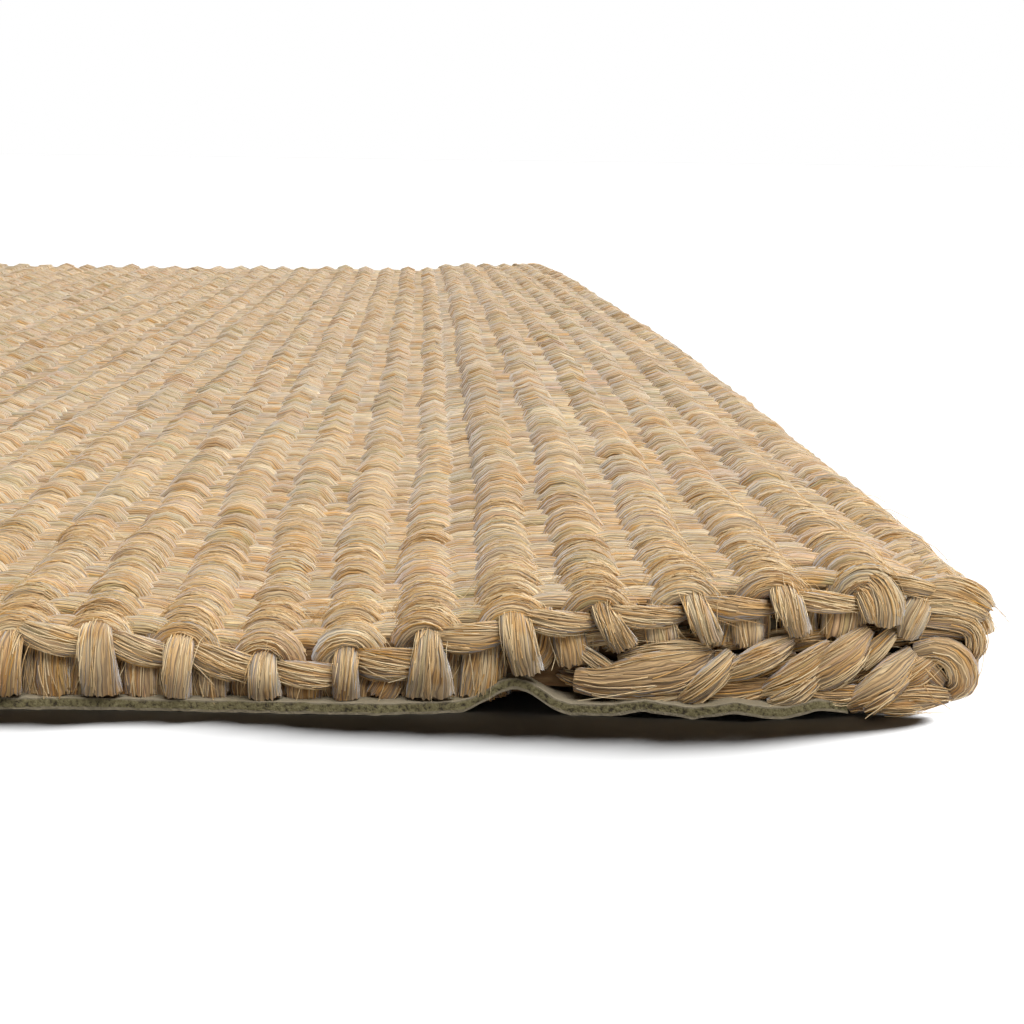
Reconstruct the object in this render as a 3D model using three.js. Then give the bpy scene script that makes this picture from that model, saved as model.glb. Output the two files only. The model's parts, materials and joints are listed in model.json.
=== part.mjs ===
// A thick woven sisal rug, laid flat, with a folded hem down each side and a thin latex backing under it.
// Millimetres, +Z up. X runs across the ribs, Y along them from the front edge to the back edge.
// The origin is the middle of the rug on the surface it lies on.
import * as THREE from 'three';

// Outer size
const RUG_WIDTH = 400;
const RUG_DEPTH = 600;

// Ribs: the weft arches over each raised warp and dips between two of them
const RIB_COUNT = 47;
const OUTER_RIB_INSET = 3.5;
const RIB_PITCH = (RUG_WIDTH - 2 * OUTER_RIB_INSET) / (RIB_COUNT - 1);
const RIB_RELIEF = 2.2;

// Three points make a rib, by their distance from its crest line in rib pitches
const RIB_POINTS = [
  { phase: 0.24, relief: 0, flute: 0 },
  { phase: -0.24, relief: 0, flute: 0 },
  { phase: -0.5, relief: RIB_RELIEF, flute: 1 },
];

// Backing sheet
const BACKING_THICKNESS = 1.2;
const BACKING_SIDE_INSET = 11;
const BACKING_END_INSET = 0.8;
const BACKING_STEP = 8;
const RIDGE_STEPS = 8;
const CLEARANCE = 0.3;

// Cloth layers
const CLOTH_BOTTOM = BACKING_THICKNESS + CLEARANCE;
const HEM_LOWER_THICKNESS = 5.8;
const HEM_SLIT = 0.5;
const HEM_WIDTH = 41;
const HEM_RAMP_END = 56;
const CUT_END_CHAMFER = 0.7;

// Thickness of the top layer in the field and over the hem: the hem is pressed flatter towards the back
const TOP_LAYER = [
  { fromFront: 0, field: 8.2, hem: 6.9 },
  { fromFront: 200, field: 8.4, hem: 6.6 },
  { fromFront: 600, field: 9.4, hem: 5.4 },
];

// The loop inside the fold, where the two layers part
const LOOP_INSET = 8;
const LOOP_RADIUS = 1;
const LOOP_HALF_SWEEP = THREE.MathUtils.degToRad(108);
const UNDERSIDE_CROWDS_FROM = 184;

// The backing lifts off the floor in a ridge beside each hem's cut end
const RIDGE = { fromEdge: 46.5, halfWidth: 5.5, height: 2.3 };

// Outside of the fold where its crest is FOLD_CREST high, from its crown down to its lower corner
const FOLD_CREST = 14.7;
const FOLD_OUTSIDE = [
  { fromEdge: 1.9, height: 13.7 },
  { fromEdge: 0.5, height: 12.6 },
  { fromEdge: 0, height: 11.2 },
  { fromEdge: 0.5, height: 9.0 },
  { fromEdge: 0.6, height: 6.8 },
  { fromEdge: 1.2, height: 3.8 },
  { fromEdge: 2.1, height: 2.7 },
  { fromEdge: 3.9, height: 1.6 },
  { fromEdge: 7.4, height: 0.6 },
];

// The folded layer's strands, from beside the fold to its cut end
const FOLDED_LAYER = [
  { fromEdge: 11, flute: 1 },
  { fromEdge: 15.5, flute: 0 },
  { fromEdge: 19.5, flute: 1 },
  { fromEdge: 24.5, flute: 0 },
  { fromEdge: 28.5, flute: 1 },
  { fromEdge: 33.5, flute: 0 },
  { fromEdge: 37, flute: 1 },
  { fromEdge: HEM_WIDTH, flute: 0 },
];

// The front edge, in from the right-hand corner: height of the rib crests, and how far the edge lies
// behind the corner
const FRONT_RIGHT = [
  { fromEdge: 4, crest: 14.4, setBack: 0 },
  { fromEdge: 12, crest: 15.0, setBack: 0.1 },
  { fromEdge: 21, crest: 14.2, setBack: 0.3 },
  { fromEdge: 30, crest: 13.5, setBack: 0.5 },
  { fromEdge: 38.5, crest: 12.7, setBack: 0.7 },
  { fromEdge: 47, crest: 11.5, setBack: 0.9 },
  { fromEdge: 56, crest: 9.8, setBack: 1.1 },
  { fromEdge: 64, crest: 8.5, setBack: 1.3 },
  { fromEdge: 72, crest: 7.9, setBack: 1.5 },
  { fromEdge: 81, crest: 9.1, setBack: 1.7 },
  { fromEdge: 90, crest: 10.1, setBack: 1.9 },
  { fromEdge: 110, crest: 9.7, setBack: 1.9 },
];
const FRONT_SHAPE_DEPTH = 90;
const FRONT_SHAPE_FADE = { full: 90, gone: 130 };

// How far the right-hand edge lies inside its widest place
const RIGHT_EDGE = [
  { fromFront: 0, inset: 2.6 },
  { fromFront: 25, inset: 1.6 },
  { fromFront: 70, inset: 0 },
  { fromFront: 200, inset: 0 },
  { fromFront: 300, inset: 0.8 },
  { fromFront: 400, inset: 2.6 },
  { fromFront: 500, inset: 5.5 },
  { fromFront: 600, inset: 10 },
];

// How far the left-hand edge lies inside its widest place
const LEFT_EDGE = [
  { fromFront: 0, inset: 0.8 },
  { fromFront: 150, inset: 0 },
  { fromFront: 330, inset: 0.9 },
  { fromFront: 480, inset: 0.1 },
  { fromFront: 600, inset: 1.2 },
];
const EDGE_SHIFT_FALLOFF = 4;

// Small lifts of the backing along the front edge, in from the right-hand corner
const BACKING_LIFTS = [
  { fromEdge: 15.5, halfWidth: 4, height: 0.8 },
  { fromEdge: 24.5, halfWidth: 4, height: 0.7 },
  { fromEdge: 33.5, halfWidth: 3.5, height: 0.6 },
];
const BACKING_LIFT_DEPTH = 30;

// Cuts across the rug, by distance back from the front edge
const ROUNDED_END = [
  { inset: 0, outerPinch: 0.3, innerPinch: 0.08, flute: 1 },
  { inset: 1.2, outerPinch: 0.12, innerPinch: 0.02, flute: 0.75 },
  { inset: 3.5, outerPinch: 0, innerPinch: 0, flute: 0.2 },
];
const MIDDLE_CUTS = [22, 50, 90, 150, 230, 320, 410, 500, 570];
const FLUTE_DEPTH = 1.5;

// Slow unevenness of the laid rug
const WAVES = [
  { size: 0.35, acrossLength: 170, alongLength: 260, phase: 0.6 },
  { size: 0.25, acrossLength: 95, alongLength: 410, phase: 2.1 },
];

const halfWidth = RUG_WIDTH / 2;
const halfDepth = RUG_DEPTH / 2;

// 0 below low, 1 above high, and smooth between
function smoothRise(value, low, high) {
  return THREE.MathUtils.smoothstep(value, low, high);
}

// Cosine bump: 1 at its middle and 0 from halfWidth away
function bump(distance, halfBump) {
  const share = Math.min(Math.abs(distance) / halfBump, 1);
  return 0.5 * (1 + Math.cos(Math.PI * share));
}

// Reads a column of a table at a distance given in another of its columns, straight between the rows
function fromTable(table, distanceColumn, distance, column) {
  const last = table.length - 1;
  if (distance <= table[0][distanceColumn]) return table[0][column];
  if (distance >= table[last][distanceColumn]) return table[last][column];
  const next = table.findIndex((row) => row[distanceColumn] > distance);
  const before = table[next - 1];
  const after = table[next];
  const low = before[distanceColumn];
  return THREE.MathUtils.mapLinear(distance, low, after[distanceColumn], before[column], after[column]);
}

// Share of the front-right corner's shape that is left at a place
function frontShare(fromFront, fromRight) {
  const acrossFade = 1 - smoothRise(fromRight, FRONT_SHAPE_FADE.full, FRONT_SHAPE_FADE.gone);
  return (1 - smoothRise(fromFront, 0, FRONT_SHAPE_DEPTH)) * acrossFade;
}

function slowWave(x, fromFront) {
  let height = 0;
  for (const wave of WAVES) {
    const across = Math.sin((2 * Math.PI * x) / wave.acrossLength + wave.phase);
    const along = Math.cos((2 * Math.PI * fromFront) / wave.alongLength + wave.phase);
    height += wave.size * across * along;
  }
  return height;
}

// Underside of the top layer: flat in the field, and over the folded layer at each side
function undersideHeight(fromEdge) {
  const hemUnderside = CLOTH_BOTTOM + HEM_LOWER_THICKNESS + HEM_SLIT;
  const rise = 1 - smoothRise(fromEdge, HEM_WIDTH + 1, HEM_RAMP_END);
  return THREE.MathUtils.lerp(CLOTH_BOTTOM, hemUnderside, rise);
}

// Height of the rib crests
function crestHeight(x, fromFront) {
  const fromEdge = halfWidth - Math.abs(x);
  const fromRight = halfWidth - x;
  const hemShare = 1 - smoothRise(fromEdge, HEM_WIDTH + 1, HEM_RAMP_END);
  const field = fromTable(TOP_LAYER, 'fromFront', fromFront, 'field');
  const hem = fromTable(TOP_LAYER, 'fromFront', fromFront, 'hem');
  const thickness = THREE.MathUtils.lerp(field, hem, hemShare);
  const plain = undersideHeight(fromEdge) + thickness + slowWave(x, fromFront);
  const atFront = fromTable(FRONT_RIGHT, 'fromEdge', fromRight, 'crest');
  return THREE.MathUtils.lerp(plain, atFront, frontShare(fromFront, fromRight));
}

// How far the backing is off the floor
function backingLift(x, fromFront) {
  const fromEdge = halfWidth - Math.abs(x);
  const fromRight = halfWidth - x;
  let lift = RIDGE.height * bump(fromEdge - RIDGE.fromEdge, RIDGE.halfWidth);
  for (const row of BACKING_LIFTS) {
    lift += row.height * bump(fromRight - row.fromEdge, row.halfWidth) * bump(fromFront, BACKING_LIFT_DEPTH);
  }
  return lift;
}

// A place on the cloth's section: outer and inner height, and its share of rib relief and flute
function station(x, outerHeight, innerX, innerHeight, flute) {
  return { x, outerHeight, innerX, innerHeight, flute };
}

// The folded layer and the fold of one side, from its cut end to the crown of the fold
function hemStations(side, fromFront) {
  const stations = [];
  const topOfLayer = CLOTH_BOTTOM + HEM_LOWER_THICKNESS;
  for (const row of [...FOLDED_LAYER].reverse()) {
    const x = side * (halfWidth - row.fromEdge);
    const cutEnd = row.fromEdge === HEM_WIDTH;
    const trim = cutEnd ? CUT_END_CHAMFER : 0;
    const underside = CLOTH_BOTTOM + backingLift(x, fromFront);
    stations.push(station(x, underside + trim, x, topOfLayer - trim, row.flute));
  }
  const loopHeight = topOfLayer + HEM_SLIT / 2;
  const loopX = halfWidth - LOOP_INSET;
  const last = FOLD_OUTSIDE.length - 1;
  const crest = crestHeight(side * (halfWidth - OUTER_RIB_INSET), fromFront);
  const stretch = (crest - loopHeight) / (FOLD_CREST - loopHeight);
  [...FOLD_OUTSIDE].reverse().forEach((row, i) => {
    const angle = LOOP_HALF_SWEEP * ((2 * i) / last - 1);
    const innerX = side * (loopX + LOOP_RADIUS * Math.cos(angle));
    const innerHeight = loopHeight + LOOP_RADIUS * Math.sin(angle);
    const above = row.height - loopHeight;
    const height = loopHeight + above * (above > 0 ? stretch : 1);
    stations.push(station(side * (halfWidth - row.fromEdge), height, innerX, innerHeight, i % 2));
  });
  return stations;
}

// Place on the underside below a place on top: the last ones before the fold crowd up to the loop
function undersidePlace(x, topReach) {
  const start = UNDERSIDE_CROWDS_FROM;
  const reach = halfWidth - LOOP_INSET - LOOP_RADIUS;
  const crowded = THREE.MathUtils.mapLinear(Math.abs(x), start, topReach, start, reach);
  return Math.sign(x) * Math.min(Math.abs(x), crowded);
}

// The top layer from right to left, left out where the fold's own points take over
function topStations(fromFront) {
  const stations = [];
  const topReach = halfWidth - FOLD_OUTSIDE[0].fromEdge - 1;
  for (let rib = 0; rib < RIB_COUNT; rib += 1) {
    const crestX = halfWidth - OUTER_RIB_INSET - rib * RIB_PITCH;
    for (const point of RIB_POINTS) {
      const x = crestX + point.phase * RIB_PITCH;
      if (Math.abs(x) > topReach) continue;
      const height = crestHeight(x, fromFront) - point.relief;
      const innerX = undersidePlace(x, topReach);
      const underside = undersideHeight(halfWidth - Math.abs(innerX));
      stations.push(station(x, height, innerX, underside, point.flute));
    }
  }
  return stations;
}

function clothStations(fromFront) {
  const right = hemStations(1, fromFront);
  const left = hemStations(-1, fromFront).reverse();
  return [...right, ...topStations(fromFront), ...left];
}

// Sideways shift of a place, as its long edge wanders in and out
function sidewaysShift(x, fromFront) {
  const weight = Math.abs(x / halfWidth) ** EDGE_SHIFT_FALLOFF;
  const inset = fromTable(x > 0 ? RIGHT_EDGE : LEFT_EDGE, 'fromFront', fromFront, 'inset');
  return -Math.sign(x) * weight * inset;
}

// Cuts from front to back, each with its rounding
function clothCuts() {
  const plain = { outerPinch: 0, innerPinch: 0, flute: 0 };
  const front = ROUNDED_END.map((row) => ({ ...row, fromFront: row.inset, end: -1 }));
  const middle = MIDDLE_CUTS.map((fromFront) => ({ ...plain, fromFront, end: 0 }));
  const back = ROUNDED_END.map((row) => ({ ...row, fromFront: RUG_DEPTH - row.inset, end: 1 })).reverse();
  return [...front, ...middle, ...back];
}

function placeAlong(x, cut) {
  const setBack = fromTable(FRONT_RIGHT, 'fromEdge', halfWidth - x, 'setBack');
  return cut.fromFront - halfDepth + setBack * (1 - smoothRise(cut.fromFront, 0, FRONT_SHAPE_DEPTH));
}

function clothRow(cut) {
  const outer = [];
  const inner = [];
  for (const place of clothStations(cut.fromFront)) {
    const y = placeAlong(place.x, cut) - cut.end * place.flute * cut.flute * FLUTE_DEPTH;
    const shift = sidewaysShift(place.x, cut.fromFront);
    const outside = new THREE.Vector3(place.x + shift, y, place.outerHeight);
    const inside = new THREE.Vector3(place.innerX + shift, y, place.innerHeight);
    outer.push(outside.clone().lerp(inside, cut.outerPinch));
    inner.push(inside.clone().lerp(outside, cut.innerPinch));
  }
  return { outer, inner };
}

// Places across the backing, closer together over the ridges and the small lifts
function backingPlaces() {
  const reach = halfWidth - BACKING_SIDE_INSET;
  const ridgeX = halfWidth - RIDGE.fromEdge;
  const inside = ridgeX - RIDGE.halfWidth;
  const places = [reach];
  for (const row of FOLDED_LAYER) {
    places.push(halfWidth - row.fromEdge);
  }
  for (let step = 0; step <= RIDGE_STEPS; step += 1) {
    places.push(ridgeX + RIDGE.halfWidth * (1 - (2 * step) / RIDGE_STEPS));
  }
  for (let x = inside - BACKING_STEP; x > 0; x -= BACKING_STEP) {
    places.push(x);
  }
  const right = [...new Set(places)].sort((a, b) => b - a);
  return [...right, ...right.map((x) => -x).reverse()];
}

function backingRow(cut) {
  const outer = [];
  const inner = [];
  const inset = cut.end * -BACKING_END_INSET;
  for (const x of backingPlaces()) {
    const lift = backingLift(x, cut.fromFront);
    const shifted = x + sidewaysShift(x, cut.fromFront);
    const y = placeAlong(x, cut) + inset;
    outer.push(new THREE.Vector3(shifted, y, lift + BACKING_THICKNESS));
    inner.push(new THREE.Vector3(shifted, y, lift));
  }
  return { outer, inner };
}

// A closed body from rows of outer and inner points, front row first, with the outer points running
// anticlockwise as seen from the front
function ribbonBody(rows) {
  const count = rows[0].outer.length;
  const ring = 2 * count;
  const positions = rows.flatMap((row) => [...row.outer, ...row.inner.slice().reverse()]);
  const triangles = [];
  const quad = (a, b, c, d) => triangles.push(a, b, c, a, c, d);
  for (let row = 0; row < rows.length - 1; row += 1) {
    for (let i = 0; i < ring; i += 1) {
      const next = (i + 1) % ring;
      quad(row * ring + i, (row + 1) * ring + i, (row + 1) * ring + next, row * ring + next);
    }
  }
  const lastRow = (rows.length - 1) * ring;
  for (let i = 0; i < count - 1; i += 1) {
    const inner = ring - 1 - i;
    quad(i, i + 1, inner - 1, inner);
    quad(lastRow + i, lastRow + inner, lastRow + inner - 1, lastRow + i + 1);
  }
  const geometry = new THREE.BufferGeometry().setFromPoints(positions);
  geometry.setIndex(triangles);
  geometry.computeVertexNormals();
  return geometry;
}

function makeCloth() {
  const sisal = new THREE.MeshStandardMaterial({ color: 0xc2a578, roughness: 0.9, metalness: 0 });
  const cloth = new THREE.Mesh(ribbonBody(clothCuts().map(clothRow)), sisal);
  cloth.name = 'sisal_cloth';
  return cloth;
}

function makeBacking() {
  const latex = new THREE.MeshStandardMaterial({ color: 0x8d9078, roughness: 0.85, metalness: 0 });
  const cuts = clothCuts().filter((cut) => cut.end === 0 || cut.inset === 0);
  const backing = new THREE.Mesh(ribbonBody(cuts.map(backingRow)), latex);
  backing.name = 'latex_backing';
  return backing;
}

const group = new THREE.Group();
group.add(makeCloth(), makeBacking());

export default group;
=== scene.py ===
"""A thick woven sisal rug on a pale floor: every yarn, the folded hems and the latex backing under them."""
import json
import math
from functools import partial

import bpy
import numpy as np
from bpy.props import FloatProperty, FloatVectorProperty, IntProperty, PointerProperty
from bpy.types import Operator, Panel, PropertyGroup
from mathutils import Matrix, Vector
from mathutils.bvhtree import BVHTree

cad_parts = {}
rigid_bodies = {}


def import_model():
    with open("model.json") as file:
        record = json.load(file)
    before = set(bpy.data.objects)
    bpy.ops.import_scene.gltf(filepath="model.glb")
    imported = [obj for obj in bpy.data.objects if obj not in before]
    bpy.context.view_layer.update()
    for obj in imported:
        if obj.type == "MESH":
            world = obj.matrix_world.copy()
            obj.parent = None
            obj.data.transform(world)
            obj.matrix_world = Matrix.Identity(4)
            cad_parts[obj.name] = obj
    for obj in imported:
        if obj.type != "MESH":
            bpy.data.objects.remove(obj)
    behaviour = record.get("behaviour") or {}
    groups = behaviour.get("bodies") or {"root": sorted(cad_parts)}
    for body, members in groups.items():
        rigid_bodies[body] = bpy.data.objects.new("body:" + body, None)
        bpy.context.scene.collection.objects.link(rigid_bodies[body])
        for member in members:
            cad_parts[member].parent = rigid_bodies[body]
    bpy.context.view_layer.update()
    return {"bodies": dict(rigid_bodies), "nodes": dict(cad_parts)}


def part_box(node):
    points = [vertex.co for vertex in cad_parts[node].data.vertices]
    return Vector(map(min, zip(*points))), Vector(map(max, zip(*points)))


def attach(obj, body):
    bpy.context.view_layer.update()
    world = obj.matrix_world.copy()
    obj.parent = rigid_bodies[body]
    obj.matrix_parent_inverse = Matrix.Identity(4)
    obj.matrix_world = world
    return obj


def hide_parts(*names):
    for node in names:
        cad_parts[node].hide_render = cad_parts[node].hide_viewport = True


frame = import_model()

bl_info = {
    "name": "Sisal rug",
    "version": (1, 0, 0),
    "blender": (4, 5, 0),
    "location": "View3D > Sidebar > Rug",
    "description": "Builds a woven sisal rug with folded hems and a latex backing",
    "category": "Add Mesh",
}

MM = 0.001
CLOTH = frame["nodes"]["sisal_cloth"]
BACKING = frame["nodes"]["latex_backing"]
BODY = next(iter(frame["bodies"]))

# Outer size in millimetres, from the frame
CLOTH_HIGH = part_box("sisal_cloth")[1] / MM
BACKING_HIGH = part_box("latex_backing")[1] / MM
HALF_WIDTH = CLOTH_HIGH.x
HALF_DEPTH = CLOTH_HIGH.y
DEPTH = 2 * HALF_DEPTH

# Ribs: crest lines along Y, counted from the right-hand edge
RIB_COUNT = 47
OUTER_RIB_INSET = 3.5
RIB_PITCH = 2 * (HALF_WIDTH - OUTER_RIB_INSET) / (RIB_COUNT - 1)

# Weft picks: the first one that arches over the ribs, and how many there are
FIRST_ARCH = 3.9
PICK_COUNT = 140
PICK_PITCH = (DEPTH - 2 * FIRST_ARCH) / (PICK_COUNT - 1)


def rows_of(keys, rows):
    """The rows of a table, each with these keys."""
    return [dict(zip(keys.split(), row)) for row in rows]


def by_rib(keys, rows):
    """The rows of a table by the rib that each is for."""
    return {row["rib"]: row for row in rows_of(keys, rows)}


def strand(points, widths, thick, spin, tint, fray=0.3):
    """One strand on an end of the rug."""
    return {"points": points, "widths": widths, "thick": thick, "spin": spin, "tint": tint, "fray": fray}


# Warp ends turned down over the first pick, by rib from the right: how far the rib lies from its even
# place at the front, where the strand comes out, and where its foot is, with a width at each
TURNED_WARPS = rows_of("rib shift top_x top top_width foot_x foot foot_width tint", [
    (2, -0.9, 179.0, 12.9, 2.8, 180.7, 8.1, 2.3, 0.38),
    (3, -1.0, 170.2, 12.0, 2.2, 172.1, 7.4, 2.4, 0.12),
    (4, -1.3, 161.1, 11.1, 1.9, 163.6, 6.6, 2.7, 0.34),
    (5, -0.9, 152.6, 10.3, 2.9, 154.1, 3.9, 3.2, 0.1),
    (6, -0.9, 144.3, 8.3, 2.6, 144.5, 1.5, 4.9, 0.05),
    (7, -0.1, 136.2, 6.5, 2.2, 136.2, 1.3, 2.7, 0.22),
    (8, 0.3, 128.1, 6.0, 2.5, 128.3, 1.3, 3.4, 0.02),
    (9, 0.6, 120.0, 7.9, 2.6, 119.7, 1.3, 2.8, 0.3),
    (10, 0.7, 111.8, 9.1, 3.0, 112.4, 1.5, 4.1, 0.16),
    (11, 1.3, 103.4, 8.2, 2.6, 103.1, 1.5, 3.0, 0.93),
])
RIB_SHIFTS = {0: 0.3, 1: -0.1}
RIB_SHIFTS.update({row["rib"]: row["shift"] for row in TURNED_WARPS})
SHIFT_FADE = 110

# First pick to the left of a rib: heights of its left and right ends, its thickness, and its tint
FIRST_PICK_SPANS = by_rib("rib left right thick tint", [
    (1, 11.8, 11.4, 1.9, 0.93),
    (2, 11.1, 10.8, 2.2, 0.62),
    (3, 10.0, 10.1, 2.2, 0.3),
    (4, 9.5, 9.3, 2.3, 0.42),
    (5, 7.3, 8.3, 2.8, 0.36),
    (6, 4.9, 5.2, 3.2, 0.34),
    (7, 4.1, 3.8, 2.6, 0.5),
    (8, 5.7, 4.3, 2.9, 0.38),
    (9, 7.1, 5.6, 2.7, 0.33),
    (10, 7.8, 6.9, 2.9, 0.15),
])

# How far the front strands stand out before the frame's cloth
FRONT_PROUD = 1.5

# How much lower a place looks for each millimetre that it lies further back, at the photo's angle
SIGHT_SLOPE = 0.25

# Ends of the low warps under the first pick, to the left of a rib
LOW_WARP_ENDS = by_rib("rib x top foot width lean tint", [
    (1, 185.1, 10.6, 7.6, 4.3, -0.4, 0.35),
    (2, 175.7, 9.6, 6.9, 3.3, 0.3, 0.3),
    (3, 167.1, 9.0, 6.9, 3.4, 0.5, 0.12),
    (4, 158.2, 8.2, 4.9, 3.4, 0.8, 0.92),
    (5, 149.3, 6.7, 1.3, 3.9, -0.5, 0.08),
    (6, 140.1, 3.6, 1.3, 3.2, -1.2, 0.6),
    (7, 131.9, 3.2, 1.2, 3.8, 0.1, 0.95),
    (8, 123.2, 3.8, 1.3, 3.0, 0.2, 0.18),
    (9, 115.9, 5.2, 1.3, 3.4, 0.2, 0.97),
    (10, 107.3, 5.9, 1.3, 3.6, 0.5, 0.94),
])

# Strands on the end of the folded layer and round the fold. Each has points (x, height, how far it
# stands out), widths from one end to the other, a thickness, a twist in degrees to the mm, a tint and
# how ragged its last end is
HEM_STRANDS = [
    # The loose end of the hem, cut and pointing away from the fold
    strand([(158.8, 3.2, -0.7), (161.5, 3.1, 0.0), (165.3, 3.8, 0.3), (169.0, 4.6, 0.2), (172.0, 5.8, -0.8)],
           (2.5, 3.3, 4.6, 4.3, 1.6), 2.6, 2, 0.34, 1.4),
    strand([(161.0, 3.1, -3.2), (158.9, 3.0, -2.8), (157.3, 3.4, -3.0)], (1.0, 1.4, 1.0), 1.0, 3, 0.56, 0.8),
    strand([(158.9, 6.3, -1.6), (160.6, 5.4, -1.1), (162.6, 4.3, -0.9)], (1.1, 1.5, 1.1), 1.2, 3, 0.62, 0.9),
    strand([(163.0, 5.2, -1.2), (166.0, 6.1, -0.8), (169.8, 6.6, -0.8), (172.0, 6.4, -1.4)],
           (1.0, 1.7, 1.8, 1.0), 1.5, 4, 0.1),
    strand([(163.2, 1.7, -0.9), (166.6, 1.9, -0.3), (169.6, 2.3, -0.8)], (1.0, 1.8, 1.2), 1.4, 3, 0.56),
    # The strands that slant up over the folded layer
    strand([(169.3, 1.3, -0.3), (170.7, 2.5, 0.4), (172.4, 4.3, 0.4), (174.0, 6.0, -0.6)],
           (1.5, 2.6, 2.6, 1.5), 1.9, 6, 0.06),
    strand([(171.3, 1.8, -1.0), (174.3, 2.2, -0.6), (178.0, 2.8, -0.9)], (1.6, 3.0, 2.2), 1.4, 1, 0.5),
    strand([(173.3, 3.7, -0.5), (175.3, 4.9, 0.2), (177.6, 6.3, 0.3), (179.9, 7.5, -0.8)],
           (1.4, 2.7, 2.8, 1.4), 2.0, 6, 0.12),
    strand([(177.0, 2.0, -0.6), (179.1, 3.3, 0.2), (181.5, 5.1, 0.3), (183.7, 7.0, -0.7)],
           (1.3, 2.7, 3.0, 1.5), 2.0, 6, 0.95),
    strand([(177.8, 1.2, 0.0), (179.8, 2.0, 0.6), (181.5, 3.4, 0.4), (182.8, 4.7, -0.4)],
           (1.3, 2.5, 2.1, 0.8), 1.6, 4, 0.16),
    strand([(180.8, 2.2, -0.7), (183.8, 2.0, -0.2), (187.3, 2.2, -0.7)], (1.3, 2.5, 1.6), 1.6, 3, 0.58),
    strand([(181.4, 2.7, -0.6), (183.2, 4.1, 0.4), (185.4, 6.3, 0.5), (187.4, 8.5, -0.6)],
           (1.6, 3.5, 3.8, 1.8), 2.3, 6, 0.32),
    strand([(187.0, 5.0, -0.9), (188.3, 6.6, -0.4), (189.8, 8.4, -0.7)], (1.5, 2.1, 1.5), 1.5, 6, 0.86),
    strand([(185.8, 0.9, -0.2), (188.0, 2.4, 0.6), (190.1, 4.4, 0.5), (192.0, 6.3, -0.5)],
           (1.8, 3.4, 3.7, 1.8), 2.1, 5, 0.14),
    strand([(187.0, 0.9, 0.7), (188.4, 1.8, 1.2), (189.9, 2.8, 0.9)], (0.5, 1.2, 0.6), 0.7, 2, 0.99),
    # The small fan inside the fold, and the flat strands below it
    strand([(190.8, 3.0, -0.6), (192.4, 4.4, 0.2), (194.3, 6.2, -0.3)], (1.5, 2.6, 1.6), 1.6, 5, 0.84),
    strand([(191.6, 6.0, -0.9), (193.2, 4.8, 0.0), (195.0, 3.4, -0.2)], (1.6, 2.3, 1.6), 1.3, 5, 0.6),
    strand([(189.6, 1.9, -0.5), (192.8, 2.4, 0.1), (196.0, 2.2, -0.2)], (1.2, 2.1, 1.3), 1.4, 3, 0.55),
    strand([(187.0, 0.9, -0.3), (190.8, 1.1, 0.2), (195.4, 1.8, -0.1)], (1.0, 1.6, 1.0), 1.3, 3, 0.4),
    # The strand that turns back on itself inside the fold
    strand([(192.5, 6.3, -0.6), (194.2, 6.9, 0.4), (195.9, 6.2, 0.9),
            (196.8, 4.7, 0.9), (196.8, 3.2, 0.5), (195.7, 2.0, -0.3)],
           (2.0, 2.5, 2.9, 3.1, 2.7, 1.5), 2.4, 1, 0.36),
    strand([(192.2, 8.2, -1.3), (194.6, 8.4, -0.8), (197.2, 8.0, -1.2)], (1.4, 1.8, 1.4), 1.6, 4, 0.42),
    strand([(197.1, 8.3, -0.7), (197.3, 7.5, -0.4), (197.2, 6.5, -0.7)], (0.5, 0.7, 0.5), 0.5, 0, 0.05),
    strand([(195.0, 8.8, -2.6), (196.9, 7.4, -1.8), (196.9, 4.8, -1.6), (195.2, 2.4, -2.4)],
           (2.4, 3.4, 3.6, 2.4), 1.8, 4, 0.62),
    # The edge strands of the upper layer, and how the lowest one goes on round the fold
    strand([(192.4, 12.3, -0.9), (194.8, 12.6, 0.0), (196.8, 12.1, 0.1),
            (198.3, 11.4, -0.1), (199.1, 10.8, -0.6)],
           (2.0, 3.2, 3.4, 2.9, 1.9), 2.3, 3, 0.36, 1.2),
    strand([(192.2, 10.9, -0.8), (194.6, 11.3, 0.1), (196.8, 11.0, 0.3), (198.6, 10.2, -0.3)],
           (1.5, 2.4, 2.5, 1.8), 1.9, 4, 0.12, 0.8),
    strand([(192.2, 9.6, -0.9), (194.6, 9.8, 0.0), (196.8, 9.6, 0.2),
            (198.0, 8.5, 0.1), (198.3, 7.0, 0.0), (197.8, 5.6, -0.5)],
           (1.4, 2.0, 2.1, 1.7, 1.6, 1.1), 1.7, 4, 0.9),
    strand([(197.7, 6.4, -0.9), (197.8, 5.0, -0.5), (197.4, 3.5, -0.6), (196.6, 2.4, -0.9)],
           (1.0, 1.5, 1.6, 1.0), 1.3, 4, 0.84),
]

# The near end of the second rib: its two strands, the one beside them and the one above
NEAR_KNOT = [
    strand([(187.9, 12.9, -2.8), (188.4, 12.7, -0.1), (189.0, 11.3, 0.9), (189.4, 9.6, 0.2)],
           (2.3, 2.9, 3.4, 3.0), 2.3, 4, 0.04),
    strand([(186.8, 11.9, -3.0), (186.9, 12.0, -0.4), (187.4, 11.0, 0.4), (187.9, 9.8, -0.1)],
           (1.3, 1.8, 2.1, 1.6), 1.7, 5, 0.4),
    strand([(192.7, 11.9, -1.5), (192.3, 11.2, 0.0), (191.6, 9.7, 0.4), (191.4, 8.1, -0.4)],
           (1.9, 2.7, 2.9, 2.2), 2.1, 5, 0.13),
    strand([(189.6, 13.0, -2.4), (191.5, 13.1, -0.2), (194.3, 12.5, -0.6)], (1.2, 1.8, 1.4), 1.6, 4, 0.34),
]

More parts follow.
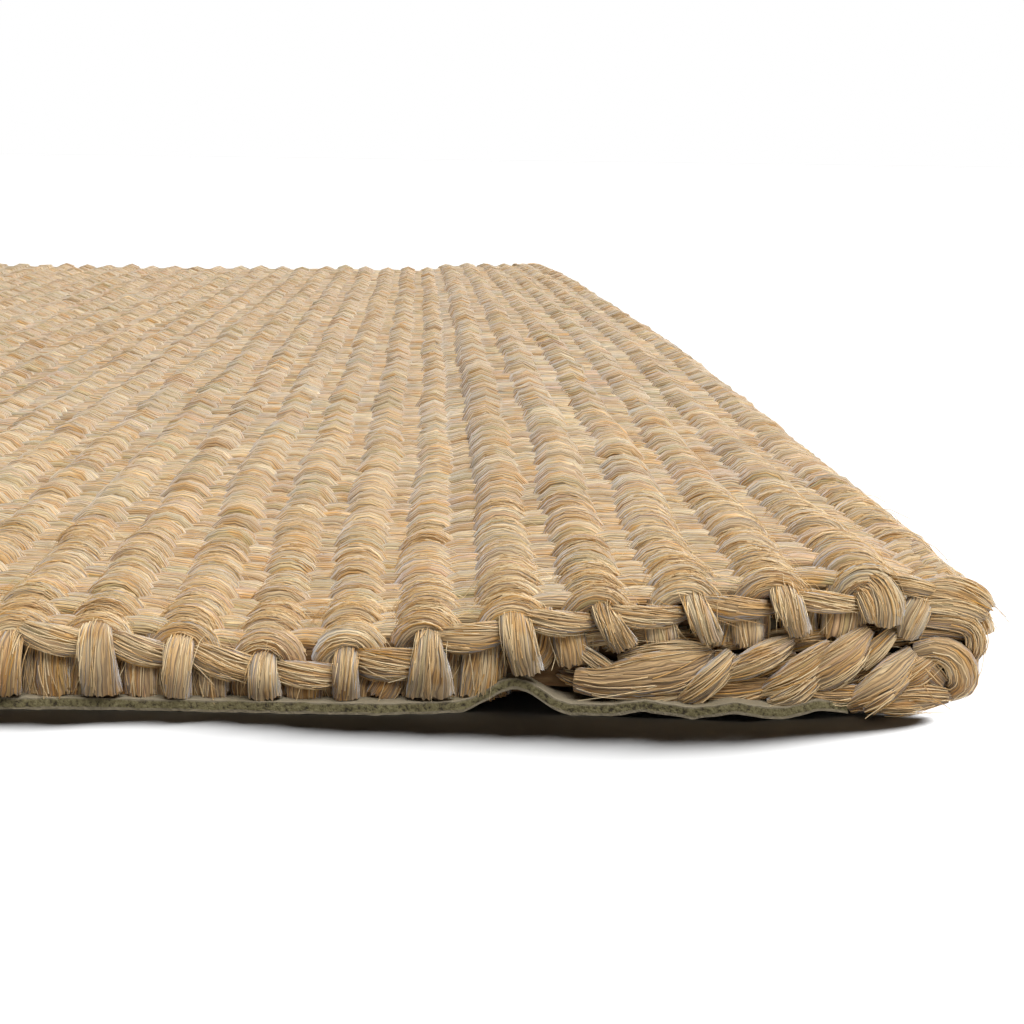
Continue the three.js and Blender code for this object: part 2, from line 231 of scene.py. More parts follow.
# Yarns round the side folds, as (distance in from the edge, height)
UPPER_FOLD = [(3.7, 10.9), (2.2, 11.6), (0.9, 11.4), (0.2, 10.0), (0.5, 8.4), (1.6, 7.3)]
LOWER_FOLD = [(1.6, 7.6), (0.8, 6.3), (0.9, 4.6), (2.0, 3.1), (4.2, 2.2), (7.2, 1.6), (10.2, 2.0)]

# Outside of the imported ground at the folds, as (distance in from the edge, height)
GROUND_FOLD = [
    (8.2, 11.1), (5.4, 10.9), (3.6, 10.0), (2.6, 8.6), (2.5, 6.8), (3.0, 4.8), (4.6, 3.2), (7.2, 2.4),
    (10.0, 2.1)
]
HEM_WIDTH = 41
HEM_REACH = HEM_WIDTH + 1
GROUND_THICKNESS = 4.6
LATEX_THICKNESS = 1.15

# How far in from the rug's edges, and from a fold's own edge, the height of the cloth is taken
EDGE_INSET = 6
CREST_INSET = 5

# Heights of the cloth there in the photo, at the fold and at the front, that the tables above are for
FOLD_CREST = 13.9
END_CREST = 14.3

# Height at which the warp ends stop on the hem
HEM_FOOT = 8.0

WARP_THICKNESS = 1.7
BACKING_INSET = 0.8

# The backing's front edge, as (x, how far it lies behind the rug's foremost place)
BACKING_FRONT = [
    (95, 1.3), (112, 1.0), (122, 0.4), (132, -0.3), (140, -0.8), (147, 0.0), (151, 0.8), (156, 0.3),
    (160, -0.6), (169, -1.5), (178, -2.6), (186, -1.4), (190, -0.4)
]

# Lumps of latex that squeezed out between the yarns at the front, as (x, height, size)
LATEX_LUMPS = [
    (158.9, 7.4, 1.6), (162.6, 8.0, 1.2), (170.3, 7.6, 1.9), (177.9, 8.5, 1.5), (151.6, 5.9, 1.3),
    (126.3, 2.0, 1.4), (106.9, 2.0, 1.2), (133.9, 1.7, 1.1)
]

# How finely a yarn is made, by ribs and picks from the near right-hand corner
DETAIL = rows_of("name ribs picks ring steps groove ragged", [
    ("corner", 12, 3, 48, 12, 0.13, 0.16),
    ("near", 13, 12, 24, 9, 0.12, 0.16),
    ("middle", 17, 30, 10, 7, 0.0, 0.12),
    ("field_right", 24, PICK_COUNT, 5, 5, 0.0, 0.0),
    ("field_left", RIB_COUNT, PICK_COUNT, 5, 4, 0.0, 0.0),
])

FIBRE_DETAIL = {"ring": 3, "groove": 0.0, "ragged": 0.0}

# The strands at the ends: fine at the near right-hand corner, for this many ribs, and plain elsewhere
CLOSE_RIBS = 12
CLOSE_STEPS = 12
PLAIN_STEPS = 7
CLOSE_DETAIL = {"ring": 48, "groove": 0.13, "ragged": 0.16}
PLAIN_DETAIL = {"ring": 8, "groove": 0.0, "ragged": 0.12}
FOLD_DETAIL = {"ring": 8, "groove": 0.0, "ragged": 0.1}

# No fibre hangs lower than this over the floor
FIBRE_FLOOR = 0.15

# Half the floor's width in metres
FLOOR_REACH = 40.0

# Lights: how wide each looks in degrees, and which way it shines
KEY_LIGHT = (40, (-0.22, 0.46, -0.86))
RIM_LIGHT = (40, (-0.4, -0.5, -0.77))
FLOOR_LIGHT = (12, (-0.84, -0.35, -0.42))

# Camera: where it stands and how it is turned in degrees, fitted to the photo's edges
CAMERA_PLACE = (144.5, -484.8, 53.6)
CAMERA_TURN = 2.40
CAMERA_DIP = 10.25
CAMERA_ROLL = 0.76
CAMERA_LENS = 68.5
CAMERA_SENSOR = 36


def linear_colour(code):
    """An sRGB hex code as linear red, green and blue."""
    channels = [int(code[i : i + 2], 16) / 255 for i in (1, 3, 5)]
    return tuple(c / 12.92 if c <= 0.04045 else ((c + 0.055) / 1.055) ** 2.4 for c in channels)


def colour_property(name, description, code):
    return FloatVectorProperty(
        name=name, description=description, subtype="COLOR", size=3, min=0, max=1, default=linear_colour(code)
    )


def length_property(name, description, millimetres):
    return FloatProperty(
        name=name, description=description, unit="LENGTH", min=0, default=millimetres * MM, precision=5
    )


class RugSizes(PropertyGroup):
    """Sizes of the yarn and its weave."""

    yarn_width: length_property("Yarn width", "Width of a weft yarn where it crosses a rib", 4.15)
    yarn_thickness: length_property("Yarn thickness", "Thickness of a weft yarn on a rib", 2.6)
    arch_reach: length_property("Arch reach", "How far an arch reaches to each side of its rib", 2.55)
    arch_drop: length_property("Arch drop", "How far an arch drops from its crown to its feet", 2.7)
    valley_drop: length_property("Valley drop", "How far the low picks lie below the ribs", 2.45)
    end_inset: length_property("Ground inset", "How far the ground lies behind the turned ends", 3.4)
    ground_depth: length_property("Ground depth", "How far the ground lies under the yarn", 2.5)
    twist_per_metre: FloatProperty(
        name="Twist", description="Turn of the spun yarn in a metre", subtype="ANGLE",
        default=math.radians(7000)
    )
    fibre_groups: IntProperty(
        name="Fibre groups", description="Groups of fibres that show round a yarn", min=3, default=24
    )
    seed: IntProperty(name="Seed", description="Start of every random draw", default=7)


class RugColours(PropertyGroup):
    """Colours of the sisal and of the latex."""

    cream: colour_property("Cream", "The palest sisal fibres", "#E3CB9F")
    straw: colour_property("Straw", "Most of the sisal fibres", "#D1A971")
    tan: colour_property("Tan", "The darker sisal fibres", "#BA9059")
    ochre: colour_property("Ochre", "Golden brown fibres", "#C7913F")
    olive: colour_property("Olive", "Greenish fibres", "#AC9B5E")
    blush: colour_property("Blush", "Pinkish fibres", "#D0A381")
    # Painted shade: the dark colour painted into the gaps between fibre groups, where shade falls.
    groove: colour_property("Groove", "The gaps between the fibres", "#5C3F20")
    # Painted shade: the ground is coloured dark for the shade that it lies in under the surface yarns.
    ground: colour_property("Ground", "The yarn that lies under the surface", "#6F5434")
    # Painted shade: the tint that darkens and browns the yarns towards the floor.
    floor_shade_tint: colour_property("Painted floor shade", "Tint of the painted shade near the floor", "#EDE3D6")
    latex_core: colour_property("Latex core", "The foamed middle of the backing", "#6E6340")
    latex_pore: colour_property("Latex pores", "The pores in the backing's edge", "#3D3320")
    latex_pale: colour_property("Pale latex", "The palest foam in the backing's edge", "#857A55")
    latex_lump: colour_property("Latex lumps", "Set latex between the yarns", "#5A4F3A")
    latex_skin: colour_property("Latex skin", "The smooth skin of the backing", "#897C64")


class StageSettings(PropertyGroup):
    """The floor and the lights."""

    floor_colour: colour_property("Floor", "Colour of the floor", "#9A9A9A")
    sky: FloatProperty(name="Sky", description="Strength of the even light from above", min=0, default=0.0)
    key: FloatProperty(name="Key light", description="Strength of the light over it", min=0, default=4.0)
    key_colour: colour_property("Key colour", "Colour of the light over the rug", "#F6FAFF")
    rim: FloatProperty(name="Back light", description="Strength of the light from behind", min=0, default=2.4)
    floor_light: FloatProperty(
        name="Floor light", description="Strength of the floor's light", min=0, default=26.5
    )


def smooth_rise(value, low, high):
    """0 below low, 1 above high, and smooth between."""
    share = np.clip((np.asarray(value, float) - low) / (high - low), 0, 1)
    return share * share * (3 - 2 * share)


def surface_tree(node):
    """A tree for casting rays at a node of the frame."""
    corners = [vertex.co / MM for vertex in node.data.vertices]
    faces = [tuple(face.vertices) for face in node.data.polygons]
    return BVHTree.FromPolygons(corners, faces)


CLOTH_SURFACE = surface_tree(CLOTH)
BACKING_SURFACE = surface_tree(BACKING)
FAR_OUT = 1000

# Taken where a ray misses: how far the cloth lies below its highest rib, and the backing's height
MISSED_CLOTH = 4
MISSED_BACKING = 1.2


def edge_line(side):
    """Where the long edge lies, at places along the rug."""
    places = np.linspace(-HALF_DEPTH + 1, HALF_DEPTH - 1, 61)
    found = []
    for y in places:
        reach = [0.0]
        for z in (7.0, 9.0, 11.0):
            hit = CLOTH_SURFACE.ray_cast(Vector((side * FAR_OUT, y, z)), Vector((-side, 0, 0)))[0]
            if hit is not None:
                reach.append(hit.x * side)
        found.append(max(reach))
    found = np.array(found)
    found[found < HALF_WIDTH / 2] = np.median(found)
    return places, found


RIGHT_LINE = edge_line(1)
LEFT_LINE = edge_line(-1)


def edge_x(side, y):
    """Distance of the long edge from the middle line."""
    places, found = RIGHT_LINE if side > 0 else LEFT_LINE
    return float(np.interp(y, places, found))


def end_line():
    """How far the front strands lie behind the rug's foremost place, across the rug."""
    places = np.linspace(-HALF_WIDTH + EDGE_INSET, HALF_WIDTH - EDGE_INSET, 99)
    found = []
    for x in places:
        foremost = 4.0
        for height in (3.0, 4.5, 6.0):
            hit = CLOTH_SURFACE.ray_cast(Vector((x, -FAR_OUT, height)), Vector((0, 1, 0)))[0]
            if hit is not None:
                foremost = min(foremost, hit.y + HALF_DEPTH)
        found.append(foremost)
    padded = np.pad(found, 2, mode="edge")
    foremost = np.min([padded[start : start + len(found)] for start in range(5)], axis=0)
    smooth = np.convolve(np.pad(foremost, 3, mode="edge"), np.full(7, 1 / 7), mode="valid")
    return places, smooth - FRONT_PROUD


def cloth_top(x, y):
    """Height of the frame's cloth at a place."""
    hit = CLOTH_SURFACE.ray_cast(Vector((x, y, FAR_OUT)), Vector((0, 0, -1)))[0]
    return hit.z if hit is not None else CLOTH_HIGH.z - MISSED_CLOTH


def backing_top(x, y):
    """Height of the frame's backing at a place."""
    hit = BACKING_SURFACE.ray_cast(Vector((x, y, FAR_OUT)), Vector((0, 0, -1)))[0]
    return hit.z if hit is not None else MISSED_BACKING


FRONT_LINE = end_line()
FRONT_SWING_DEPTH = 90


def depth_place(x, from_front):
    """The Y of a place by its distance from the front edge."""
    set_back = float(np.interp(x, *FRONT_LINE))
    return from_front - HALF_DEPTH + set_back * (1 - float(smooth_rise(from_front, 0, FRONT_SWING_DEPTH)))


class Weave:
    """Where ribs and picks lie, with the small unevenness of hand weaving."""

    def __init__(self, seed):
        draw = np.random.RandomState(seed)
        self.draw = draw
        self.rib_phase = draw.uniform(0, 2 * math.pi, (RIB_COUNT + 1, 2))
        self.pick_phase = draw.uniform(0, 2 * math.pi, (2 * PICK_COUNT + 3, 2))

    def rib_x(self, rib, from_front):
        """X of a rib's crest line. A half rib is the valley to its left."""
        even = HALF_WIDTH - OUTER_RIB_INSET - rib * RIB_PITCH
        whole = int(rib)
        wander = 0.25 * math.sin(from_front / 19 + self.rib_phase[whole, 0])
        wander += 0.2 * math.sin(from_front / 7.5 + self.rib_phase[whole, 1])
        near = 1 - float(smooth_rise(from_front, 0, SHIFT_FADE))
        shift = RIB_SHIFTS.get(whole, 0)
        if rib != whole:
            shift = 0.5 * (shift + RIB_SHIFTS.get(whole + 1, 0))
        wander *= min(1, from_front / 20)
        y = from_front - HALF_DEPTH
        side = 1 if even > 0 else -1
        weight = abs(even / HALF_WIDTH) ** 4
        squeeze = side * weight * (edge_x(side, y) - HALF_WIDTH)
        if side > 0:
            squeeze *= 1 - near
        return even + squeeze + near * shift + wander

    def pick_from_front(self, pick, x):
        """Distance of a pick from the front edge at x. A half pick is the low one behind it."""
        even = FIRST_ARCH + pick * PICK_PITCH
        row = int(round(2 * pick)) + 1
        wander = 0.22 * math.sin(x / 23 + self.pick_phase[row, 0])
        wander += 0.28 * math.sin(x / 6.1 + self.pick_phase[row, 1])
        return even + wander


def add_object(name, data):
    """A new object in the scene."""
    made = bpy.data.objects.new(name, data)
    bpy.context.scene.collection.objects.link(made)
    return made


class Yarns:
    """Centre lines of yarns, with what each of their points carries, waiting to be swept."""

    FLOATS = ("half_width", "half_height", "turn", "along", "tint", "fray")

    def __init__(self):
        self.points = []
        self.sides = []
        self.values = {name: [] for name in self.FLOATS}

    def add(self, points, side, width, height, turn, turn_rate, tint, fray=0.0):
        """Adds one yarn: its points, the direction of its width, and its sizes, all in millimetres."""
        points = np.asarray(points, float)
        count = len(points)
        lengths = np.linalg.norm(np.diff(points, axis=0), axis=1)
        along = np.concatenate(([0.0], np.cumsum(lengths)))
        self.points.append(points)
        self.sides.append(np.broadcast_to(np.asarray(side, float), (count, 3)))
        self.values["half_width"].append(np.broadcast_to(np.asarray(width, float) / 2, count))
        self.values["half_height"].append(np.broadcast_to(np.asarray(height, float) / 2, count))
        self.values["turn"].append(turn + turn_rate * (along - along[-1] / 2))
        self.values["along"].append(along * MM)
        self.values["tint"].append(np.full(count, tint))
        ragged_end = np.zeros(count)
        ragged_end[-1] = fray
        self.values["fray"].append(ragged_end)

    def frame_at(self, number, place):
        """Centre, width and thickness directions, half sizes and turn of a yarn at places from 0 to 1."""
        points = self.points[number]
        steps = np.linspace(0, 1, len(points))
        ahead = np.gradient(points, axis=0)
        ahead /= np.linalg.norm(ahead, axis=1)[:, None]
        side = self.sides[number]
        across = side - ahead * np.sum(side * ahead, axis=1)[:, None]
        across /= np.linalg.norm(across, axis=1)[:, None]
        outward = np.cross(ahead, across)

        def read(values):
            values = np.asarray(values)
            if values.ndim == 1:
                return np.interp(place, steps, values)
            return np.stack([np.interp(place, steps, values[:, axis]) for axis in range(3)], axis=1)

        sizes = [read(self.values[key][number]) for key in ("half_width", "half_height", "turn")]
        return read(points), read(across), read(outward), sizes

    def add_fibres(self, source, draw, count, length, lift, thick):
        """Adds single fibres that lie on the yarns of another batch and spring off at one end."""
        weights = np.array([values[-1] for values in source.values["along"]])
        weights = weights / weights.sum()
        for number in draw.choice(len(weights), count, p=weights):
            whole = source.values["along"][number][-1] / MM
            share = min(0.9, draw.uniform(*length) / whole)
            start = draw.uniform(0, 1 - share)
            t = np.linspace(0, 1, 6)
            if draw.uniform() < 0.5:
                place = start + share * t
            else:
                place = start + share * (1 - t)
            centre, across, outward, (wide, high, turn) = source.frame_at(number, place)
            angle = draw.uniform(0.12, 0.88) * math.pi + (turn - turn[0]) + draw.normal(0, 0.25) * t
            off = 0.03 + draw.uniform(*lift) * t**2.2 + draw.uniform(0, 0.12) * np.sin(math.pi * t)
            cosine = np.cos(angle)[:, None]
            sine = np.sin(angle)[:, None]
            path = centre + across * cosine * (wide + off)[:, None] + outward * sine * (high + off)[:, None]
            path[:, 2] = np.maximum(path[:, 2], FIBRE_FLOOR)
            flat = np.cross(np.gradient(path, axis=0), across * cosine + outward * sine)
            size = draw.uniform(*thick) * (1 - 0.5 * t)
            self.add(path, flat, size * 1.6, size, 0, 0, draw.uniform(0, 1))

    def to_object(self, name):
        """A mesh object of edges, one chain for each yarn."""
        points = np.concatenate(self.points) * MM
        ends = np.cumsum([len(chain) for chain in self.points]) - 1
        starts = np.setdiff1d(np.arange(len(points)), ends)
        mesh = bpy.data.meshes.new(name)
        mesh.vertices.add(len(points))
        mesh.vertices.foreach_set("co", points.astype(np.float32).ravel())
        mesh.edges.add(len(starts))
        mesh.edges.foreach_set("vertices", np.stack((starts, starts + 1), axis=1).astype(np.int32).ravel())
        side = mesh.attributes.new("side", "FLOAT_VECTOR", "POINT")
        side.data.foreach_set("vector", np.concatenate(self.sides).astype(np.float32).ravel())
        for key in self.FLOATS:
            values = np.concatenate(self.values[key])
            if key in ("half_width", "half_height", "fray"):
                values = values * MM
            layer = mesh.attributes.new(key, "FLOAT", "POINT")
            layer.data.foreach_set("value", values.astype(np.float32))
        mesh.update()
        return add_object(name, mesh)


# Kinds of node that are used often
MATHS = "ShaderNodeMath"
VECTORS = "ShaderNodeVectorMath"
MAP_RANGE = "ShaderNodeMapRange"
MIX = "ShaderNodeMix"
RAMP = "ShaderNodeValToRGB"
NOISE = "ShaderNodeTexNoise"
BUMP = "ShaderNodeBump"
PRINCIPLED = "ShaderNodeBsdfPrincipled"
STORE = "GeometryNodeStoreNamedAttribute"


def add_node(tree, kind, inputs=(), **settings):
    """Adds a node with its settings, and sets or links its inputs. A node stands for its first output."""
    node = tree.nodes.new(kind)
    for key, value in settings.items():
        setattr(node, key, value)
    for key, value in inputs.items() if isinstance(inputs, dict) else enumerate(inputs):
        if isinstance(value, bpy.types.Node):
            value = value.outputs[0]
        if isinstance(value, bpy.types.NodeSocket):
            tree.links.new(value, node.inputs[key])
        else:
            node.inputs[key].default_value = value
    return node


def new_geometry_tree(name, inputs):
    """A geometry node group with named inputs, and its input node."""
    tree = bpy.data.node_groups.new(name, "GeometryNodeTree")
    tree.interface.new_socket("Geometry", in_out="INPUT", socket_type="NodeSocketGeometry")
    for label, kind in inputs:
        tree.interface.new_socket(label, in_out="INPUT", socket_type=kind)
    tree.interface.new_socket("Geometry", in_out="OUTPUT", socket_type="NodeSocketGeometry")
    return tree, tree.nodes.new("NodeGroupInput")


def end_geometry_tree(tree, geometry, material, smooth_faces=True):
    """Ends a tree in smooth shading, Realize Instances and Set Material."""
    add = partial(add_node, tree)
    smooth = add("GeometryNodeSetShadeSmooth", {"Geometry": geometry, "Shade Smooth": smooth_faces})
    real = add("GeometryNodeRealizeInstances", {"Geometry": smooth})
    painted = add("GeometryNodeSetMaterial", {"Geometry": real, "Material": material})
    add("NodeGroupOutput", {"Geometry": painted})


# What the trees read from a mesh. All but the tint is taken off the finished one
YARN_VECTORS = ("centre", "heading", "side")
YARN_FLOATS = ("half_width", "half_height", "turn", "along", "fray", "around", "in_groove")
WORKING_LAYERS = (*YARN_VECTORS, *YARN_FLOATS, "inward", "thickness")


def read_layers(tree, vectors, floats):
    """Nodes that read named attributes, by name."""
    kinds = {**dict.fromkeys(vectors, "FLOAT_VECTOR"), **dict.fromkeys(floats, "FLOAT")}
    return {
        key: add_node(tree, "GeometryNodeInputNamedAttribute", {"Name": key}, data_type=kind)
        for key, kind in kinds.items()
    }


def ring_section(add, ring_points):
    """A ring that knows how far round each point lies, and whose every second point lies in a groove."""
    ring = add("GeometryNodeCurvePrimitiveCircle", {"Resolution": ring_points})
    parameter = add("GeometryNodeSplineParameter")
    rounded = add(STORE, {"Geometry": ring, "Name": "around", "Value": parameter.outputs["Factor"]})
    index = add("GeometryNodeInputIndex")
    second = add(MATHS, [index, 2.0], operation="MODULO")
    return add(STORE, {"Geometry": rounded, "Name": "in_groove", "Value": second})


def section_directions(add, side, heading):
    """Directions of a section's width and thickness, square to the yarn's heading."""
    leaning = add(VECTORS, [side, heading], operation="PROJECT")
    square = add(VECTORS, [side, leaning], operation="SUBTRACT")
    across = add(VECTORS, [square], operation="NORMALIZE")
    crossed = add(VECTORS, [heading, across], operation="CROSS_PRODUCT")
    return across, add(VECTORS, [crossed], operation="NORMALIZE")


def yarn_spot(add, across, fineness, along, length, own):
    """A place on a yarn for a pattern: fine across it, and this many millimetres long along it."""
    x = add(MATHS, [across, fineness], operation="MULTIPLY")
    y = add(MATHS, [along, 1 / (length * MM)], operation="MULTIPLY")
    return add("ShaderNodeCombineXYZ", {"X": x, "Y": y, "Z": own})


def yarn_relief(add, spot, in_groove, source):
    """How far a point lies out from the plain section: each group of fibres swells, and grooves sink."""
    noise = add(NOISE, {"Vector": spot, "Scale": 1.0, "Detail": 1.0})
    even = add(MATHS, [noise, 0.5], operation="SUBTRACT")
    lump = add(MATHS, [even, source.outputs["Raggedness"]], operation="MULTIPLY")
    limits = {"From Min": 0.35, "From Max": 0.65, "To Min": 0.1, "To Max": 1.5}
    uneven = add(MAP_RANGE, {"Value": noise, **limits})
    groove = add(MATHS, [uneven, source.outputs["Groove"]], operation="MULTIPLY")
    sunk = add(MATHS, [in_groove, groove], operation="MULTIPLY")
    return add(MATHS, [lump, sunk], operation="SUBTRACT")


def yarn_tree():
    """Sweeps a grooved, twisted section along every chain of edges."""
    name = "Spun yarn"
    if name in bpy.data.node_groups:
        return bpy.data.node_groups[name]
    inputs = [
        ("Ring Points", "NodeSocketInt"), ("Growth", "NodeSocketFloat"), ("Groove", "NodeSocketFloat"),
        ("Raggedness", "NodeSocketFloat"), ("Seed", "NodeSocketInt"), ("Material", "NodeSocketMaterial")
    ]
    tree, source = new_geometry_tree(name, inputs)
    add = partial(add_node, tree)

    # The chains become curves that remember their own centre line
    curve = add("GeometryNodeMeshToCurve", {"Mesh": source.outputs["Geometry"]})
    place = add("GeometryNodeInputPosition")
    centred = add(STORE, {"Geometry": curve, "Name": "centre", "Value": place}, data_type="FLOAT_VECTOR")
    tangent = add("GeometryNodeInputTangent")
    headed = add(STORE, {"Geometry": centred, "Name": "heading", "Value": tangent}, data_type="FLOAT_VECTOR")
    section = ring_section(add, source.outputs["Ring Points"])
    swept = add("GeometryNodeCurveToMesh", {"Curve": headed, "Profile Curve": section, "Fill Caps": True})

    # Every point is put back on a flattened section that faces the way the yarn lies
    read = read_layers(tree, YARN_VECTORS, (*YARN_FLOATS, "tint"))
    across, outward = section_directions(add, read["side"], read["heading"])
    turned = add(MATHS, [read["around"], 2 * math.pi, read["turn"]], operation="MULTIPLY_ADD")
    angle = add(MATHS, [turned, math.pi / 2], operation="SUBTRACT")
    own = add(MATHS, [read["tint"], 97.0, source.outputs["Seed"]], operation="MULTIPLY_ADD")
    spot = yarn_spot(add, read["around"], 61.0, read["along"], 4.76, own)
    relief = yarn_relief(add, spot, read["in_groove"], source)
    offsets = []
    for size, direction, wave in (("half_width", across, "COSINE"), ("half_height", outward, "SINE")):
        reach = add(MATHS, [read[size], source.outputs["Growth"], relief], operation="MULTIPLY_ADD")
        share = add(MATHS, [angle], operation=wave)
        far = add(MATHS, [reach, share], operation="MULTIPLY")
        offsets.append(add(VECTORS, {0: direction, "Scale": far}, operation="SCALE"))
    offset = add(VECTORS, offsets, operation="ADD")
    whole = add(VECTORS, [read["centre"], offset], operation="ADD")

    # A cut end is ragged: some groups of fibres reach further than others
    chance = add("ShaderNodeTexWhiteNoise", {"Vector": spot}, noise_dimensions="2D")
    spread = add(MATHS, [chance.outputs["Value"], 0.6], operation="SUBTRACT")
    reach = add(MATHS, [spread, read["fray"]], operation="MULTIPLY")
    further = add(VECTORS, {0: read["heading"], "Scale": reach}, operation="SCALE")
    final = add(VECTORS, [whole, further], operation="ADD")
    placed = add("GeometryNodeSetPosition", {"Geometry": swept, "Position": final})
    chart = add("ShaderNodeCombineXYZ", {"X": read["around"], "Y": read["along"]})
    charted = {"Geometry": placed, "Name": "yarn_uv", "Value": chart}
    mapped = add(STORE, charted, data_type="FLOAT2", domain="CORNER")
    end_geometry_tree(tree, mapped, source.outputs["Material"])
    return tree


def run_tree(made, tree, values):
    """Runs a geometry tree on an object and leaves a plain mesh."""
    modifier = made.modifiers.new(tree.name, "NODES")
    modifier.node_group = tree
    for item in tree.interface.items_tree:
        if item.item_type == "SOCKET" and item.in_out == "INPUT" and item.name in values:
            modifier[item.identifier] = values[item.name]
    graph = bpy.context.evaluated_depsgraph_get()
    mesh = bpy.data.meshes.new_from_object(
        made.evaluated_get(graph), preserve_all_data_layers=True, depsgraph=graph
    )
    made.modifiers.clear()
    old = made.data
    made.data = mesh
    mesh.name = made.name
    bpy.data.meshes.remove(old)
    for name in WORKING_LAYERS:
        layer = mesh.attributes.get(name)
        if layer is not None:
            mesh.attributes.remove(layer)
    return made


def section_growth(corners):
    """How much wider a section of few corners is drawn, so that it fills as much as a round one."""
    return math.sqrt(2 * math.pi / (corners * math.sin(2 * math.pi / corners)))


def sweep_yarns(yarns, name, detail, seed, material=None):
    """Turns a batch of yarns into one finished piece."""
    values = {
        "Ring Points": detail["ring"],
        "Growth": 1.0 if detail is FIBRE_DETAIL else section_growth(detail["ring"]),
        "Groove": detail["groove"] * MM, "Raggedness": detail["ragged"] * MM, "Seed": seed,
        "Material": material or material_once("spun sisal yarn", paint_sisal)
    }
    made = run_tree(yarns.to_object(name), yarn_tree(), values)
    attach(made, BODY)


def material_once(name, paint):
    """The material of this name. The first time, paint adds its nodes and gives its shader."""
    if name not in bpy.data.materials:
        material = bpy.data.materials.new(name)
        material.use_nodes = True
        tree = material.node_tree
        tree.nodes.clear()
        add_node(tree, "ShaderNodeOutputMaterial", {"Surface": paint(tree)})
    return bpy.data.materials[name]


def fibre_colour(add, colours, number, along, own, tint):
    """One colour for each fibre group, changing every 14 mm or so where the next fibre begins."""
    chunk = add(MATHS, [along, 1 / (14.3 * MM), number], operation="MULTIPLY_ADD")
    chunk_number = add(MATHS, [chunk], operation="FLOOR")
    key = add("ShaderNodeCombineXYZ", {"X": number, "Y": chunk_number, "Z": own})
    chance = add("ShaderNodeTexWhiteNoise", {"Vector": key}, noise_dimensions="3D")
    ramp = add(RAMP, [chance.outputs["Value"]])
    stops = [
        (0.0, colours.cream), (0.22, colours.straw), (0.45, colours.cream), (0.58, colours.tan),
        (0.70, colours.straw), (0.79, colours.olive), (0.87, colours.blush), (0.94, colours.ochre)
    ]
    fill_ramp(ramp, stops)

    # The whole yarn leans to one of the same colours
    yarn_ramp = add(RAMP, [tint])
    yarn_stops = [
        (0.0, colours.cream), (0.4, colours.straw), (0.6, colours.tan), (0.75, colours.olive),
        (0.82, colours.straw), (0.95, colours.ochre), (1.0, colours.blush)
    ]
    fill_ramp(yarn_ramp, yarn_stops)
    mixed = add(MIX, {"Factor": 0.42, "A": ramp, "B": yarn_ramp}, data_type="RGBA")
    return mixed.outputs["Result"]


def painted_floor_shade(add, colours, colour):
    """Painted shade: the colour made darker and browner over the lowest 9 mm of the yarns, towards the floor.
    """
    place = add("ShaderNodeTexCoord")
    height = add("ShaderNodeSeparateXYZ", [place.outputs["Object"]])
    limits = {"From Min": 0.0, "From Max": 9 * MM, "To Min": 1.0, "To Max": 0.0}
    shade_share = add(MAP_RANGE, {"Value": height.outputs["Z"], **limits})
    mix = {"Factor": shade_share, "A": colour, "B": (*colours.floor_shade_tint, 1)}
    return add(MIX, mix, data_type="RGBA", blend_type="MULTIPLY").outputs["Result"]


